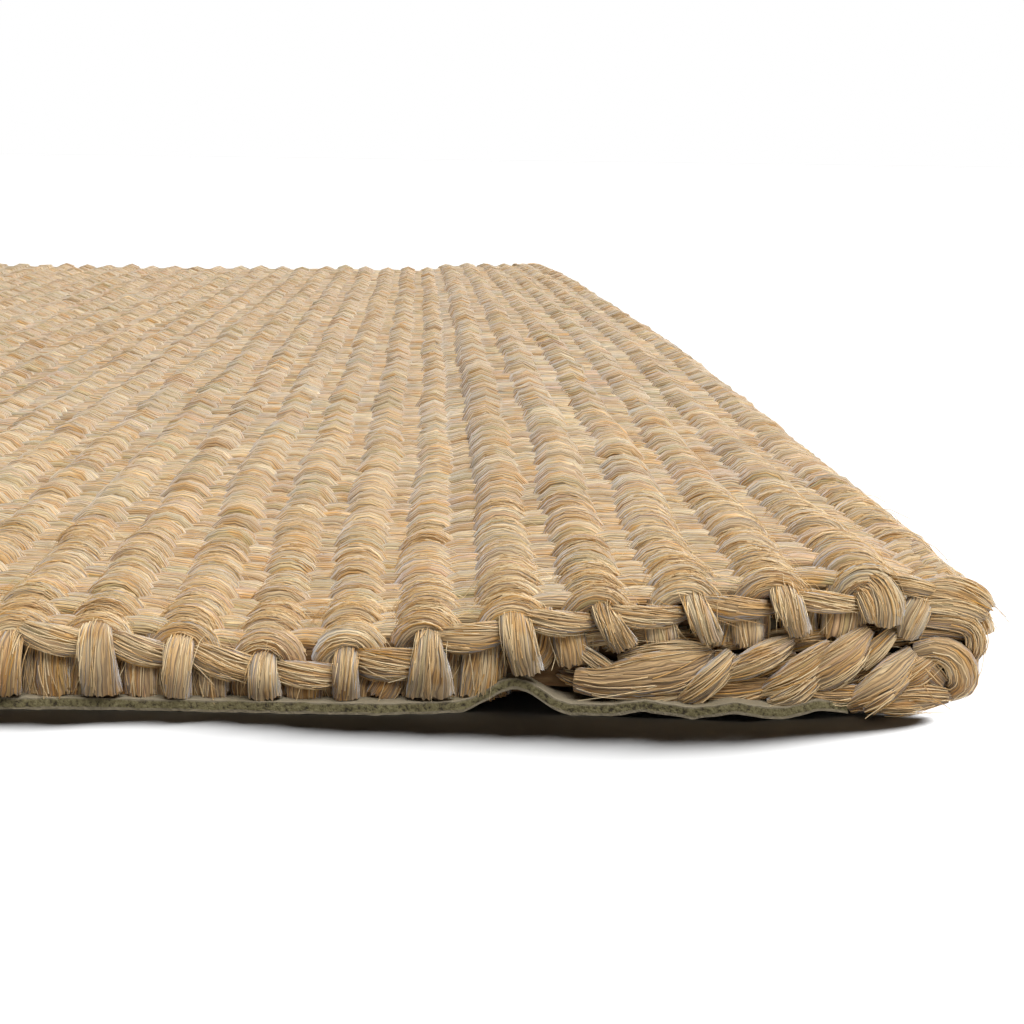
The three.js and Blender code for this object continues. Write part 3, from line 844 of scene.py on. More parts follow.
def paint_sisal(tree):
    """Spun sisal: stiff flat leaf fibres laid side by side, matt with a faint straw-like gloss."""
    add = partial(add_node, tree)
    colours = bpy.context.scene.rug_colours
    sizes = bpy.context.scene.rug_sizes

    # Place on the yarn: across it in fibre groups, and along it in metres
    chart = add("ShaderNodeUVMap", uv_map="yarn_uv")
    split = add("ShaderNodeSeparateXYZ", [chart])
    across, along = split.outputs["X"], split.outputs["Y"]
    tint = add("ShaderNodeAttribute", attribute_name="tint").outputs["Fac"]
    own = add(MATHS, [tint, 83.0], operation="MULTIPLY")
    sway = add(NOISE, {"Vector": yarn_spot(add, across, 9.0, along, 3.85, own), "Scale": 1.0})
    groups = add(MATHS, [across, float(sizes.fibre_groups)], operation="MULTIPLY")
    swayed = add(MATHS, [sway, 2.4, groups], operation="MULTIPLY_ADD")
    number = add(MATHS, [swayed], operation="FLOOR")
    within = add(MATHS, [swayed], operation="FRACT")
    mixed = fibre_colour(add, colours, number, along, own, tint)

    # Golden patches, about 3 mm long, where riper leaves were spun in
    ripe_spot = yarn_spot(add, across, 5.0, along, 3.1, own)
    ripe = add(NOISE, {"Vector": ripe_spot, "Scale": 1.0, "Detail": 0.0})
    limits = {"From Min": 0.58, "From Max": 0.72, "To Min": 0.0, "To Max": 0.75}
    ripeness = add(MAP_RANGE, {"Value": ripe, **limits}, interpolation_type="SMOOTHSTEP")
    golden = add(MIX, {"Factor": ripeness, "A": mixed, "B": (*colours.ochre, 1)}, data_type="RGBA")

    # Fine lines of single fibres, about 0.15 mm apart
    fine_spot = yarn_spot(add, swayed, 4.0, along, 5.3, own)
    fine = add(NOISE, {"Vector": fine_spot, "Scale": 1.0, "Detail": 2.0})
    limits = {"From Min": 0.33, "From Max": 0.62, "To Min": 0.52, "To Max": 1.14}
    streak = add(MAP_RANGE, {"Value": fine, **limits})

    # Some yarns are darker than others
    own_chance = add("ShaderNodeTexWhiteNoise", {"W": own}, noise_dimensions="1D")
    tone = add(MAP_RANGE, {"Value": own_chance.outputs["Value"], "To Min": 0.84, "To Max": 1.08})
    shade = add(MATHS, [streak, tone], operation="MULTIPLY")
    shaded = add(VECTORS, {0: golden.outputs["Result"], "Scale": shade}, operation="SCALE")
    # Painted shade: darker and browner towards the floor, over the lowest 9 mm.
    floor_shaded = painted_floor_shade(add, colours, shaded)

    # Painted shade: the gaps between the fibre groups are painted dark, where shade falls between them
    middle = add(MATHS, [within, 0.5], operation="SUBTRACT")
    away = add(MATHS, [middle], operation="ABSOLUTE")
    limits = {"From Min": 0.3, "From Max": 0.5, "To Min": 0.0, "To Max": 0.62}
    gap = add(MAP_RANGE, {"Value": away, **limits}, interpolation_type="SMOOTHSTEP")
    painted = add(MIX, {"Factor": gap, "A": floor_shaded, "B": (*colours.groove, 1)}, data_type="RGBA")

    # Relief of the groups and of the single fibres
    bulge = add(MATHS, [away, away], operation="MULTIPLY")
    relief = add(MATHS, [bulge, -3.0, fine], operation="MULTIPLY_ADD")
    bump = add(BUMP, {"Strength": 0.85, "Distance": 0.18 * MM, "Height": relief})
    limits = {"From Min": 0.3, "From Max": 0.7, "To Min": 0.72, "To Max": 0.5}
    rough = add(MAP_RANGE, {"Value": fine, **limits})
    surface = {"Base Color": painted.outputs["Result"], "Roughness": rough, "Normal": bump, "IOR": 1.47}
    return add(PRINCIPLED, {**surface, "Sheen Weight": 0.5, "Sheen Roughness": 0.5})


def paint_fibre(tree):
    """Loose sisal fibres: one colour each, smooth enough to catch the light along their length."""
    add = partial(add_node, tree)
    colours = bpy.context.scene.rug_colours
    tint = add("ShaderNodeAttribute", attribute_name="tint")
    ramp = add(RAMP, [tint.outputs["Fac"]])
    stops = [
        (0.0, colours.cream), (0.35, colours.straw), (0.6, colours.cream), (0.75, colours.tan),
        (0.88, colours.straw), (1.0, colours.ochre)
    ]
    fill_ramp(ramp, stops)
    return add(PRINCIPLED, {"Base Color": ramp, "Roughness": 0.5, "IOR": 1.5})


def fill_ramp(ramp, stops):
    """Puts colours on a ramp."""
    band = ramp.color_ramp
    while len(band.elements) < len(stops):
        band.elements.new(0.5)
    for element, (place, colour) in zip(band.elements, stops):
        element.position = place
        element.color = (*colour, 1)


def paint_ground(tree):
    """Packed sisal under the surface yarns: the same fibre, painted dark as painted shade, since it lies in
    the shade of the yarns over it.
    """
    add = partial(add_node, tree)
    colours = bpy.context.scene.rug_colours
    # Fibres lie across the rug, 0.45 mm apart, and each shows for 2.5 mm
    place = add("ShaderNodeTexCoord")
    spacing = (1 / (2.5 * MM), 1 / (0.45 * MM), 1 / (0.45 * MM))
    stretched = add("ShaderNodeMapping", {"Vector": place.outputs["Object"], "Scale": spacing})
    fibres = add(NOISE, {"Vector": stretched, "Scale": 1.0, "Detail": 3.0})
    # Painted shade: the fibres run between the groove and ground colours, both dark for the shade under the
    # yarns.
    ramp = add(RAMP, [fibres])
    fill_ramp(ramp, [(0.35, colours.groove), (0.65, colours.ground)])
    bump = add(BUMP, {"Strength": 0.8, "Distance": 0.3 * MM, "Height": fibres})
    return add(PRINCIPLED, {"Base Color": ramp, "Roughness": 0.9, "Normal": bump, "IOR": 1.45})


def paint_latex(tree):
    """Foamed latex: a porous grey-green core between two smooth pale skins, dull like rubber."""
    add = partial(add_node, tree)
    colours = bpy.context.scene.rug_colours
    # Pores 0.4 mm across, drawn about twice as coarse as they are so that they show, in 2.4 mm blotches
    layer = add("ShaderNodeAttribute", attribute_name="layer")
    place = add("ShaderNodeTexCoord")
    pores = add(
        NOISE, {"Vector": place.outputs["Object"], "Scale": 1 / (0.42 * MM), "Detail": 2.0, "Roughness": 0.7}
    )
    blotches = add(NOISE, {"Vector": place.outputs["Object"], "Scale": 1 / (2.4 * MM), "Detail": 1.0})
    core = add(RAMP, [pores])
    fill_ramp(core, [(0.34, colours.latex_pore), (0.47, colours.latex_core), (0.7, colours.latex_pale)])
    swayed = add(MATHS, [blotches, 0.3, layer.outputs["Fac"]], operation="MULTIPLY_ADD")
    skin = add(RAMP, [swayed])
    fill_ramp(skin, [(0.14, (1, 1, 1)), (0.34, (0, 0, 0)), (0.86, (0, 0, 0)), (1.0, (1, 1, 1))])
    painted = add(MIX, {"Factor": skin, "A": core, "B": (*colours.latex_skin, 1)}, data_type="RGBA")
    bump = add(BUMP, {"Strength": 0.8, "Distance": 0.2 * MM, "Height": pores})
    return add(
        PRINCIPLED, {"Base Color": painted.outputs["Result"], "Roughness": 0.8, "Normal": bump, "IOR": 1.5}
    )


def paint_lump(tree):
    """Set latex: a dull tan-grey skin, dusty and slightly rough from the fibres in it."""
    add = partial(add_node, tree)
    colours = bpy.context.scene.rug_colours
    place = add("ShaderNodeTexCoord")
    dust = add(NOISE, {"Vector": place.outputs["Object"], "Scale": 1 / (0.77 * MM), "Detail": 3.0})
    ramp = add(RAMP, [dust])
    fill_ramp(ramp, [(0.3, colours.latex_pore), (0.5, colours.latex_lump), (0.8, colours.latex_core)])
    bump = add(BUMP, {"Strength": 0.8, "Distance": 0.25 * MM, "Height": dust})
    return add(PRINCIPLED, {"Base Color": ramp, "Roughness": 0.85, "Normal": bump, "IOR": 1.5})


def detail_of(rib, pick):
    """The finest row of DETAIL whose reach holds this crossing."""
    for row in DETAIL:
        if rib < row["ribs"] and pick < row["picks"]:
            return row
    return DETAIL[-1]


def sweep_batches(batches, title, seed):
    """Makes one piece of each batch."""
    for number, (name, (yarns, detail)) in enumerate(sorted(batches.items())):
        sweep_yarns(yarns, f"{title}_{name}", detail, seed + number)


def batch_for(batches, detail):
    """The batch of yarns that are made in one detail."""
    if detail["name"] not in batches:
        batches[detail["name"]] = (Yarns(), detail)
    return batches[detail["name"]][0]


# How far an arch goes round from its crown to each foot
ARCH_SWEEP = math.radians(84)


def build_arches(weave, sizes):
    """Every pick where it arches over a rib, and the loose fibres near the front."""
    batches = {}
    draw = weave.draw
    for rib in range(RIB_COUNT):
        for pick in range(PICK_COUNT):
            detail = detail_of(rib, pick)
            even_x = HALF_WIDTH - OUTER_RIB_INSET - rib * RIB_PITCH
            from_front = weave.pick_from_front(pick, even_x)
            x = weave.rib_x(rib, from_front)
            y = depth_place(x, from_front)
            skew = weave.pick_from_front(pick, even_x + 2) - weave.pick_from_front(pick, even_x - 2)
            slope = skew / 4 + draw.normal(0, 0.08)
            height = cloth_top(x, y) + draw.normal(0, 0.22)
            grow = 1 + draw.normal(0, 0.05)
            thick = sizes.yarn_thickness / MM * (1 + draw.normal(0, 0.06))
            width = sizes.yarn_width / MM * (1 + draw.normal(0, 0.05))
            reach = sizes.arch_reach / MM * grow
            drop = sizes.arch_drop / MM * grow
            angle = np.linspace(-ARCH_SWEEP, ARCH_SWEEP, detail["steps"])
            across = reach * np.sin(angle)
            points = np.stack(
                (x + across, y + slope * across, height - thick / 2 - drop * (1 - np.cos(angle))), axis=1
            )
            share = np.abs(angle) / ARCH_SWEEP
            widths = width * (1 - 0.28 * share**2)
            thicks = thick * (1 + 0.1 * share)
            rate = sizes.twist_per_metre * MM * draw.uniform(0.5, 1.4)
            batch = batch_for(batches, detail)
            batch.add(points, (0, 1, 0), widths, thicks, draw.uniform(-0.4, 0.4), rate, draw.uniform(0, 1))
    hairs = Yarns()
    for name, count in (("corner", 650), ("near", 750), ("middle", 350)):
        hairs.add_fibres(batches[name][0], draw, count, (3.0, 8.0), (0.0, 0.5), (0.07, 0.14))
    hairs.add_fibres(batches["corner"][0], draw, 60, (3.0, 7.0), (0.5, 2.0), (0.06, 0.1))
    loose = np.random.RandomState(sizes.seed + 80)
    for name, count in (("corner", 190), ("near", 150)):
        hairs.add_fibres(batches[name][0], loose, count, (4.0, 8.0), (0.4, 1.8), (0.07, 0.12))
    sweep_yarns(
        hairs, "face_fibres", FIBRE_DETAIL, sizes.seed + 9, material_once("single sisal fibres", paint_fibre)
    )
    sweep_batches(batches, "weft_ribs", sizes.seed)


def build_valleys(weave, sizes):
    """Every low pick where it shows between two ribs."""
    batches = {}
    draw = weave.draw
    for rib in range(RIB_COUNT - 1):
        for pick in range(PICK_COUNT - 1):
            detail = detail_of(rib, pick)
            even_x = HALF_WIDTH - OUTER_RIB_INSET - (rib + 0.5) * RIB_PITCH
            from_front = weave.pick_from_front(pick + 0.5, even_x)
            left = weave.rib_x(rib + 1, from_front)
            right = weave.rib_x(rib, from_front)
            x = (left + right) / 2
            y = depth_place(x, from_front)
            height = (cloth_top(left, y) + cloth_top(right, y)) / 2
            height += draw.normal(0, 0.15) - sizes.valley_drop / MM
            count = max(4, detail["steps"] // 2 + 2)
            share = np.linspace(-1, 1, count)
            reach = (right - left) / 2 - 0.3
            tilt = (cloth_top(right, y) - cloth_top(left, y)) / 4
            points = np.stack(
                (
                    x + reach * share, np.full(count, y) + draw.normal(0, 0.08) * share,
                    height - 1.5 * np.abs(share) ** 3 + tilt * share
                ),
                axis=1
            )
            widths = 4.0 * (1 - 0.25 * share**2) * (1 + draw.normal(0, 0.05))
            thicks = 2.3 * (1 - 0.2 * share**2)
            rate = sizes.twist_per_metre * MM * draw.uniform(0.5, 1.4)
            batch = batch_for(batches, {**detail, "ring": max(4, detail["ring"] * 3 // 4 // 2 * 2)})
            batch.add(points, (0, 1, 0), widths, thicks, draw.uniform(-0.4, 0.4), rate, draw.uniform(0, 1))
    sweep_batches(batches, "weft_valleys", sizes.seed + 10)


def sheet_tree():
    """Gives a sheet its thickness: closed all round, a little uneven, its depth kept for the material."""
    name = "Sheet with a thickness"
    if name in bpy.data.node_groups:
        return bpy.data.node_groups[name]
    inputs = [
        ("Unevenness", "NodeSocketFloat"), ("Lump Size", "NodeSocketFloat"),
        ("Material", "NodeSocketMaterial")
    ]
    tree, source = new_geometry_tree(name, inputs)
    add = partial(add_node, tree)
    read = read_layers(tree, ["inward"], ["thickness"])
    outside = add(STORE, {"Geometry": source.outputs["Geometry"], "Name": "layer", "Value": 0.0})
    thick = add("GeometryNodeExtrudeMesh", {"Mesh": outside, "Offset Scale": 0.0, "Individual": False})
    depth = add(VECTORS, {0: read["inward"], "Scale": read["thickness"]}, operation="SCALE")
    moved = add(
        "GeometryNodeSetPosition",
        {"Geometry": thick.outputs["Mesh"], "Selection": thick.outputs["Top"], "Offset": depth}
    )
    inside = add(STORE, {"Geometry": moved, "Selection": thick.outputs["Top"], "Name": "layer", "Value": 1.0})
    flipped = add("GeometryNodeFlipFaces", {"Mesh": inside})
    both = tree.nodes.new("GeometryNodeJoinGeometry")
    tree.links.new(flipped.outputs[0], both.inputs[0])
    tree.links.new(outside.outputs[0], both.inputs[0])
    closed = add("GeometryNodeMergeByDistance", {"Geometry": both, "Distance": 0.01 * MM})
    place = add("GeometryNodeInputPosition")
    size = add(MATHS, [1.0, source.outputs["Lump Size"]], operation="DIVIDE")
    noise = add(NOISE, {"Vector": place, "Scale": size, "Detail": 2.0})
    even = add(VECTORS, [noise.outputs["Color"], (0.5, 0.5, 0.5)], operation="SUBTRACT")
    lump = add(VECTORS, {0: even, "Scale": source.outputs["Unevenness"]}, operation="SCALE")
    uneven = add("GeometryNodeSetPosition", {"Geometry": closed, "Offset": lump})
    cut_edge = thick.outputs["Side"]
    faces = add("FunctionNodeBooleanMath", [cut_edge], operation="NOT")
    end_geometry_tree(tree, uneven, source.outputs["Material"], faces)
    return tree


def sheet_object(name, places, inward, thickness):
    """A grid mesh of the sheet's outer surface, with the way in and the thickness at every point."""
    rows, columns = places.shape[:2]
    index = np.arange(rows * columns).reshape(rows, columns)
    faces = np.stack((index[:-1, :-1], index[:-1, 1:], index[1:, 1:], index[1:, :-1]), axis=-1).reshape(-1, 4)
    mesh = bpy.data.meshes.new(name)
    mesh.from_pydata((places.reshape(-1, 3) * MM).tolist(), [], faces.tolist())
    layer = mesh.attributes.new("inward", "FLOAT_VECTOR", "POINT")
    layer.data.foreach_set("vector", inward.reshape(-1, 3).astype(np.float32).ravel())
    layer = mesh.attributes.new("thickness", "FLOAT", "POINT")
    layer.data.foreach_set("value", (thickness.reshape(-1) * MM).astype(np.float32))
    return add_object(name, mesh)


def build_ground(sizes):
    """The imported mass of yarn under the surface, as one folded ribbon from hem to hem."""
    weave = Weave(sizes.seed)
    inset = sizes.end_inset / MM
    rows = np.concatenate((np.arange(inset, 60, 4.0), np.linspace(60, DEPTH - inset, 55)))
    depth = sizes.ground_depth / MM
    places, inward, thickness = [], [], []
    for from_front in rows:
        section = []
        for side in (1, -1):
            y = depth_place(side * (HALF_WIDTH - EDGE_INSET), from_front)
            edge = edge_x(side, y)
            rise = cloth_top(side * (edge - CREST_INSET), y) / FOLD_CREST
            half = [(side * (edge - far), high * rise, GROUND_THICKNESS) for far, high in GROUND_FOLD]
            under = np.linspace(HEM_WIDTH, GROUND_FOLD[-1][0] + 2, 9)
            lower = [(side * (edge - far), GROUND_FOLD[-1][1], GROUND_THICKNESS) for far in under]
            section.append(lower + half[::-1])
        top = []
        for rib in range(1, RIB_COUNT - 1):
            x = weave.rib_x(rib, from_front)
            height = cloth_top(x, depth_place(x, from_front)) - depth
            thick = GROUND_THICKNESS if abs(x) > HALF_WIDTH - HEM_WIDTH - 2 else height - 1.3
            top.append((x, height, thick))
        line = np.array(section[0] + top + section[1][::-1])
        ys = np.array([depth_place(x, from_front) for x in line[:, 0]])
        ahead = np.gradient(line[:, :2], axis=0)
        ahead /= np.linalg.norm(ahead, axis=1)[:, None]
        places.append(np.stack((line[:, 0], ys, line[:, 1]), axis=1))
        inward.append(np.stack((-ahead[:, 1], np.zeros(len(line)), ahead[:, 0]), axis=1))
        thickness.append(line[:, 2])
    places, inward, thickness = (np.array(layer)[:, ::-1] for layer in (places, inward, thickness))
    made = sheet_object("ground_cloth", places, inward, thickness)
    values = {
        "Unevenness": 0.6 * MM, "Lump Size": 3 * MM,
        "Material": material_once("packed sisal ground", paint_ground)
    }
    run_tree(made, sheet_tree(), values)
    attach(made, BODY)
    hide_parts("sisal_cloth")


def build_backing():
    """The latex sheet, put on under the cloth, with its waves at the front."""
    reach = BACKING_HIGH.x
    evens = np.concatenate((np.linspace(-reach, 100, 40), np.arange(100.5, reach, 0.5), [reach]))
    near_rows = [0, 0.6, 1.4, 3, 6, 10, 16, 24, 34]
    rows = np.concatenate((near_rows, np.linspace(45, DEPTH - 2 * BACKING_INSET, 22)))
    places = np.empty((len(rows), len(evens), 3))
    for row, from_start in enumerate(rows):
        for column, even in enumerate(evens):
            from_front = from_start + BACKING_INSET
            front = float(np.interp(even, *np.array(BACKING_FRONT).T))
            settled = float(smooth_rise(from_start, 0, 30))
            y = settled * depth_place(even, from_front) + (1 - settled) * (front + from_start - HALF_DEPTH)
            side = 1 if even > 0 else -1
            wander = edge_x(side, y) - HALF_WIDTH
            x = even + side * wander * abs(even / HALF_WIDTH) ** 4
            inner_y = min(max(y, 3.3 - HALF_DEPTH), HALF_DEPTH - BACKING_INSET - 0.3)
            inner_x = x * (1 - 0.3 / HALF_WIDTH)
            places[row, column] = (x, y, backing_top(inner_x, inner_y))
    inward = np.zeros_like(places)
    inward[:, :, 2] = -1
    made = sheet_object("latex_sheet", places, inward, np.full(places.shape[:2], LATEX_THICKNESS))
    values = {
        "Unevenness": 0.36 * MM, "Lump Size": 1.4 * MM,
        "Material": material_once("foamed latex sheet", paint_latex)
    }
    run_tree(made, sheet_tree(), values)
    for vertex in made.data.vertices:
        vertex.co.z = max(vertex.co.z, 0)
    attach(made, BODY)
    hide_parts("latex_backing")


def smooth_path(points, count):
    """Points evenly spaced on a smooth line through the given ones."""
    points = np.asarray(points, float)
    padded = np.vstack((2 * points[0] - points[1], points, 2 * points[-1] - points[-2]))
    places = np.linspace(0, len(points) - 1, count)
    found = []
    for place in places:
        start = min(int(place), len(points) - 2)
        t = place - start
        p0, p1, p2, p3 = padded[start : start + 4]
        square = 2 * p0 - 5 * p1 + 4 * p2 - p3
        cube = 3 * p1 - p0 - 3 * p2 + p3
        found.append(0.5 * (2 * p1 + (p2 - p0) * t + square * t**2 + cube * t**3))
    return np.array(found)


def build_lumps(sizes):
    """Latex that squeezed out between the yarns."""
    yarns = Yarns()
    draw = np.random.RandomState(sizes.seed + 70)
    for x, z, size in LATEX_LUMPS:
        front = float(np.interp(x, *FRONT_LINE))
        share = np.array([0.0, 0.08, 0.3, 0.6, 0.9, 1.0])
        length = size * draw.uniform(0.9, 1.4)
        xs = x - length / 2 + length * share
        line = np.stack((xs, np.full(6, front - HALF_DEPTH + 3.2), np.full(6, z)), axis=1)
        line[:, 2] += draw.normal(0, 0.15, 6)
        wide = size * np.array([0.3, 0.7, 0.9, 1.1, 0.8, 0.3]) * draw.uniform(0.8, 1.2, 6)
        yarns.add(line, (0, 0, 1), wide, 0.6 * wide, 0, 0, 0.5)
    made = yarns.to_object("latex_lumps")
    values = {
        "Ring Points": 14, "Growth": 1.0, "Raggedness": 0.9 * MM,
        "Material": material_once("set latex lumps", paint_lump)
    }
    run_tree(made, yarn_tree(), values)
    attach(made, BODY)


def lay_end_strand(yarns, row, steps, end=-1, flip=1, lift=1.0, turn=0.0, draw_in=0.0):
    """Lays a strand on the front or back end of the rug. A flip of -1 puts it at the left."""
    path = smooth_path(row["points"], steps)
    x = (path[:, 0] + draw_in) * flip
    z = path[:, 1] * lift
    front = np.interp(x, *FRONT_LINE) if end < 0 else 0.0
    y = end * (HALF_DEPTH - front + path[:, 2] - row["thick"] / 2)
    ahead = np.stack((np.gradient(x), np.gradient(z)), axis=1)
    overall = np.array((x[-1] - x[0], z[-1] - z[0])) / steps
    ahead = ahead + 0.3 * overall
    ahead /= np.linalg.norm(ahead, axis=1)[:, None]
    sides = np.stack((-ahead[:, 1], np.zeros(steps), ahead[:, 0]), axis=1) * -end
    widths = smooth_path(np.array(row["widths"])[:, None], steps)[:, 0]
    thicks = row["thick"] * (0.55 + 0.45 * widths / widths.max())
    line = np.stack((x, y, z), axis=1)
    yarns.add(line, sides, widths, thicks, turn, math.radians(row["spin"]), row["tint"], row["fray"])


def end_crest(x, end):
    """Height of the cloth just inside its front or back end."""
    return cloth_top(x, end * (HALF_DEPTH - EDGE_INSET))


def warp_foot(x, over_floor):
    """How low a warp end reaches: onto the hem, or almost to the floor between the hems."""
    return HEM_FOOT if abs(x) > HALF_WIDTH - HEM_REACH else over_floor


def warp_row(rib, draw, weave, end):
    """A turned-down warp end with the place that this rib gives it."""
    for row in TURNED_WARPS:
        if row["rib"] == rib and end < 0:
            return row
    x = weave.rib_x(rib, 0 if end < 0 else DEPTH)
    return {
        "top_x": x, "top": end_crest(x, end) - 2.1, "top_width": draw.uniform(2.0, 2.8),
        "foot_x": x + draw.uniform(-1, 1), "foot": warp_foot(x, 1.4), "foot_width": draw.uniform(2.6, 3.6),
        "tint": draw.uniform(0, 0.5)
    }


def lay_turned_warp(yarns, row, steps, end, turn):
    """A warp end that comes out under the first arch, bulges over the first pick and goes down."""
    top_x, top_width, foot_width = row["top_x"], row["top_width"], row["foot_width"]
    aside = row["foot_x"] - top_x
    foot = row["foot"] + 0.25
    set_back = float(np.interp(top_x, *FRONT_LINE)) if end < 0 else 0.0
    top = row["top"] - SIGHT_SLOPE * (set_back + 2.25)
    drop = top - foot
    points = [
        (top_x, top - 0.5, -4.5), (top_x, top - 0.6, -1.4),
        (top_x + 0.15 * aside, top - 0.7 - 0.12 * drop, 0.2), (top_x + 0.5 * aside, top - 0.55 * drop, 0.55),
        (row["foot_x"], foot, -0.2)
    ]
    path = smooth_path(points, steps)
    front = np.interp(path[:, 0], *FRONT_LINE) if end < 0 else 0.0
    y = end * (HALF_DEPTH - front + path[:, 2] - WARP_THICKNESS / 2)
    line = np.stack((path[:, 0], y, path[:, 1]), axis=1)
    waist = 0.45 * top_width + 0.6 * foot_width
    widths = np.array((top_width * 0.9, top_width, top_width * 1.12, waist, foot_width))
    wide = smooth_path(widths[:, None], steps)[:, 0]
    yarns.add(line, (-end, 0, 0), wide, WARP_THICKNESS, turn, math.radians(4), row["tint"], 0.5)


def small_turn(draw):
    """How far one strand is turned, a little either way."""
    return draw.uniform(-0.3, 0.3)


def plain_span(crest, draw):
    """A first pick away from the near corner."""
    height = crest - 4.2
    return {
        "left": height, "right": height + draw.uniform(-0.5, 0.5), "thick": draw.uniform(2.3, 2.8),
        "tint": draw.uniform(0, 1)
    }


def lay_first_pick(yarns, span, left, right, steps, end, turn):
    """The pick that the warp ends turn down over, from one rib to the next."""
    slant = span["right"] - span["left"]
    level = (span["right"] + span["left"]) / 2 - 0.35
    middle, half = (left + right) / 2, (right - left) / 2
    bend = ((-1, -0.62, -2.6), (-0.55, -0.4, -0.9), (0, 0, -0.3), (0.55, 0.4, -0.9), (1, 0.62, -2.6))
    points = [(middle + half * across, level + rise * slant, proud) for across, rise, proud in bend]
    widths = [span["thick"] * share for share in (0.6, 0.9, 1.06, 0.9, 0.6)]
    lay_end_strand(yarns, strand(points, widths, 2.0, 7, span["tint"]), steps, end, turn=turn)


def plain_low_warp(x, crest, draw):
    """The end of a low warp away from the near corner."""
    return {
        "x": x, "top": crest - 5.0, "foot": warp_foot(x, 1.5), "width": draw.uniform(3, 4),
        "lean": draw.uniform(-0.6, 0.6), "tint": draw.uniform(0, 1)
    }


def lay_low_warp(yarns, low, steps, end, turn):
    """The end of a low warp, which shows under the first pick."""
    x, top, foot, width = low["x"], low["top"], low["foot"], low["width"]
    half_lean = low["lean"] / 2
    points = [(x - half_lean, top + 0.6, -2.2), (x, (top + foot) / 2, -1.1), (x + half_lean, foot, -1.3)]
    stub = strand(points, (width * 0.9, width, width * 0.95), 1.9, 2, low["tint"], 0.8)
    lay_end_strand(yarns, stub, max(5, steps // 2), end, turn=turn)


def lay_packed_warps(yarns, middle, low, draw):
    """Two more warp ends deep in the gap, one to each side of the low one."""
    for shift in (-0.24, 0.24):
        place = middle + shift * RIB_PITCH
        points = [
            (place, low["top"] + 1.6, -3.2),
            (place + draw.uniform(-0.5, 0.5), (low["top"] + low["foot"]) / 2, -2.2),
            (place + draw.uniform(-0.5, 0.5), low["foot"] - 0.3, -2.2)
        ]
        packed = strand(points, (3.2, 3.6, 3.4), 1.6, 6, draw.uniform(0.5, 0.65))
        lay_end_strand(yarns, packed, 6, turn=small_turn(draw))


def lay_rib_end(yarns, weave, rib, end, close, draw):
    """One rib's turned warp end, and the first pick and the low warp ends to the left of it."""
    steps = CLOSE_STEPS if close else PLAIN_STEPS
    if 0 < rib < RIB_COUNT - 1 and (rib > 1 or not close):
        row = warp_row(rib, draw, weave, end)
        lay_turned_warp(yarns, row, steps, end, small_turn(draw))
    if rib == RIB_COUNT - 1 or (close and rib == 0):
        return
    from_front = 0 if end < 0 else DEPTH
    right = weave.rib_x(rib, from_front)
    left = weave.rib_x(rib + 1, from_front)
    middle = (left + right) / 2
    crest = end_crest(middle + RIB_PITCH / 2, end)
    span = FIRST_PICK_SPANS.get(rib) if close else None
    lay_first_pick(yarns, span or plain_span(crest, draw), left, right, steps, end, small_turn(draw))
    low = LOW_WARP_ENDS.get(rib) if close else None
    low = low or plain_low_warp(middle, crest, draw)
    if low["top"] - low["foot"] < 1:
        return
    lay_low_warp(yarns, low, steps, end, small_turn(draw))
    if close:
        lay_packed_warps(yarns, middle, low, draw)


def lay_hem_end(yarns, end, flip, close, draw):
    """The strands at one end of one hem, with plain ones behind them that fill the gaps."""
    steps = CLOSE_STEPS if close else PLAIN_STEPS
    lift = 1.0 if close else end_crest(flip * (HALF_WIDTH - 20), end) / END_CREST
    draw_in = 0.0 if close else edge_x(flip, end * (HALF_DEPTH - 3)) - HALF_WIDTH
    rows = HEM_STRANDS + NEAR_KNOT
    for number in range(9):
        x = HALF_WIDTH - HEM_REACH + 3.6 * number
        points = [(x, 6.2, -3.0), (x + 3.0, 7.4, -2.2), (x + 6.5, 7.6, -3.0)]
        rows.append(strand(points, (1.2, 1.9, 1.2), 1.5, 4, 0.55 + 0.1 * (number % 3)))
    for number in range(8):
        x = HALF_WIDTH - 35 + 3.6 * number
        points = [(x, 3.0, -2.2), (x + 2.4, 4.2, -1.6), (x + 5.0, 5.2, -2.2)]
        rows.append(strand(points, (2.0, 3.0, 2.0), 1.5, 5, 0.52 + 0.06 * (number % 3)))
    for row in rows:
        lay_end_strand(yarns, row, steps, end, flip, lift, small_turn(draw), draw_in)


def build_end(weave, end, sizes):
    """The turned warp ends, the first pick, the low warp ends and the hems' strands at the front or back."""
    fine, coarse = Yarns(), Yarns()
    draw = np.random.RandomState(sizes.seed + 40 + end)
    for rib in range(RIB_COUNT):
        close = end < 0 and rib < CLOSE_RIBS
        lay_rib_end(fine if close else coarse, weave, rib, end, close, draw)
    for flip in (1, -1):
        close = end < 0 and flip > 0
        lay_hem_end(fine if close else coarse, end, flip, close, draw)
    if end < 0:
        sweep_yarns(fine, "front_strands_near", CLOSE_DETAIL, sizes.seed + 50)
        hairs = Yarns()
        hairs.add_fibres(fine, draw, 1300, (2.0, 7.0), (0.0, 0.3), (0.08, 0.15))
        hairs.add_fibres(fine, draw, 110, (2.0, 6.0), (0.3, 1.3), (0.06, 0.1))
        loose = np.random.RandomState(sizes.seed + 81)
        hairs.add_fibres(fine, loose, 150, (3.0, 8.0), (0.3, 1.5), (0.07, 0.12))
        sweep_yarns(
            hairs, "front_fibres", FIBRE_DETAIL, sizes.seed + 52,
            material_once("single sisal fibres", paint_fibre)
        )
    sweep_yarns(coarse, "front_strands" if end < 0 else "back_strands", PLAIN_DETAIL, sizes.seed + 51)


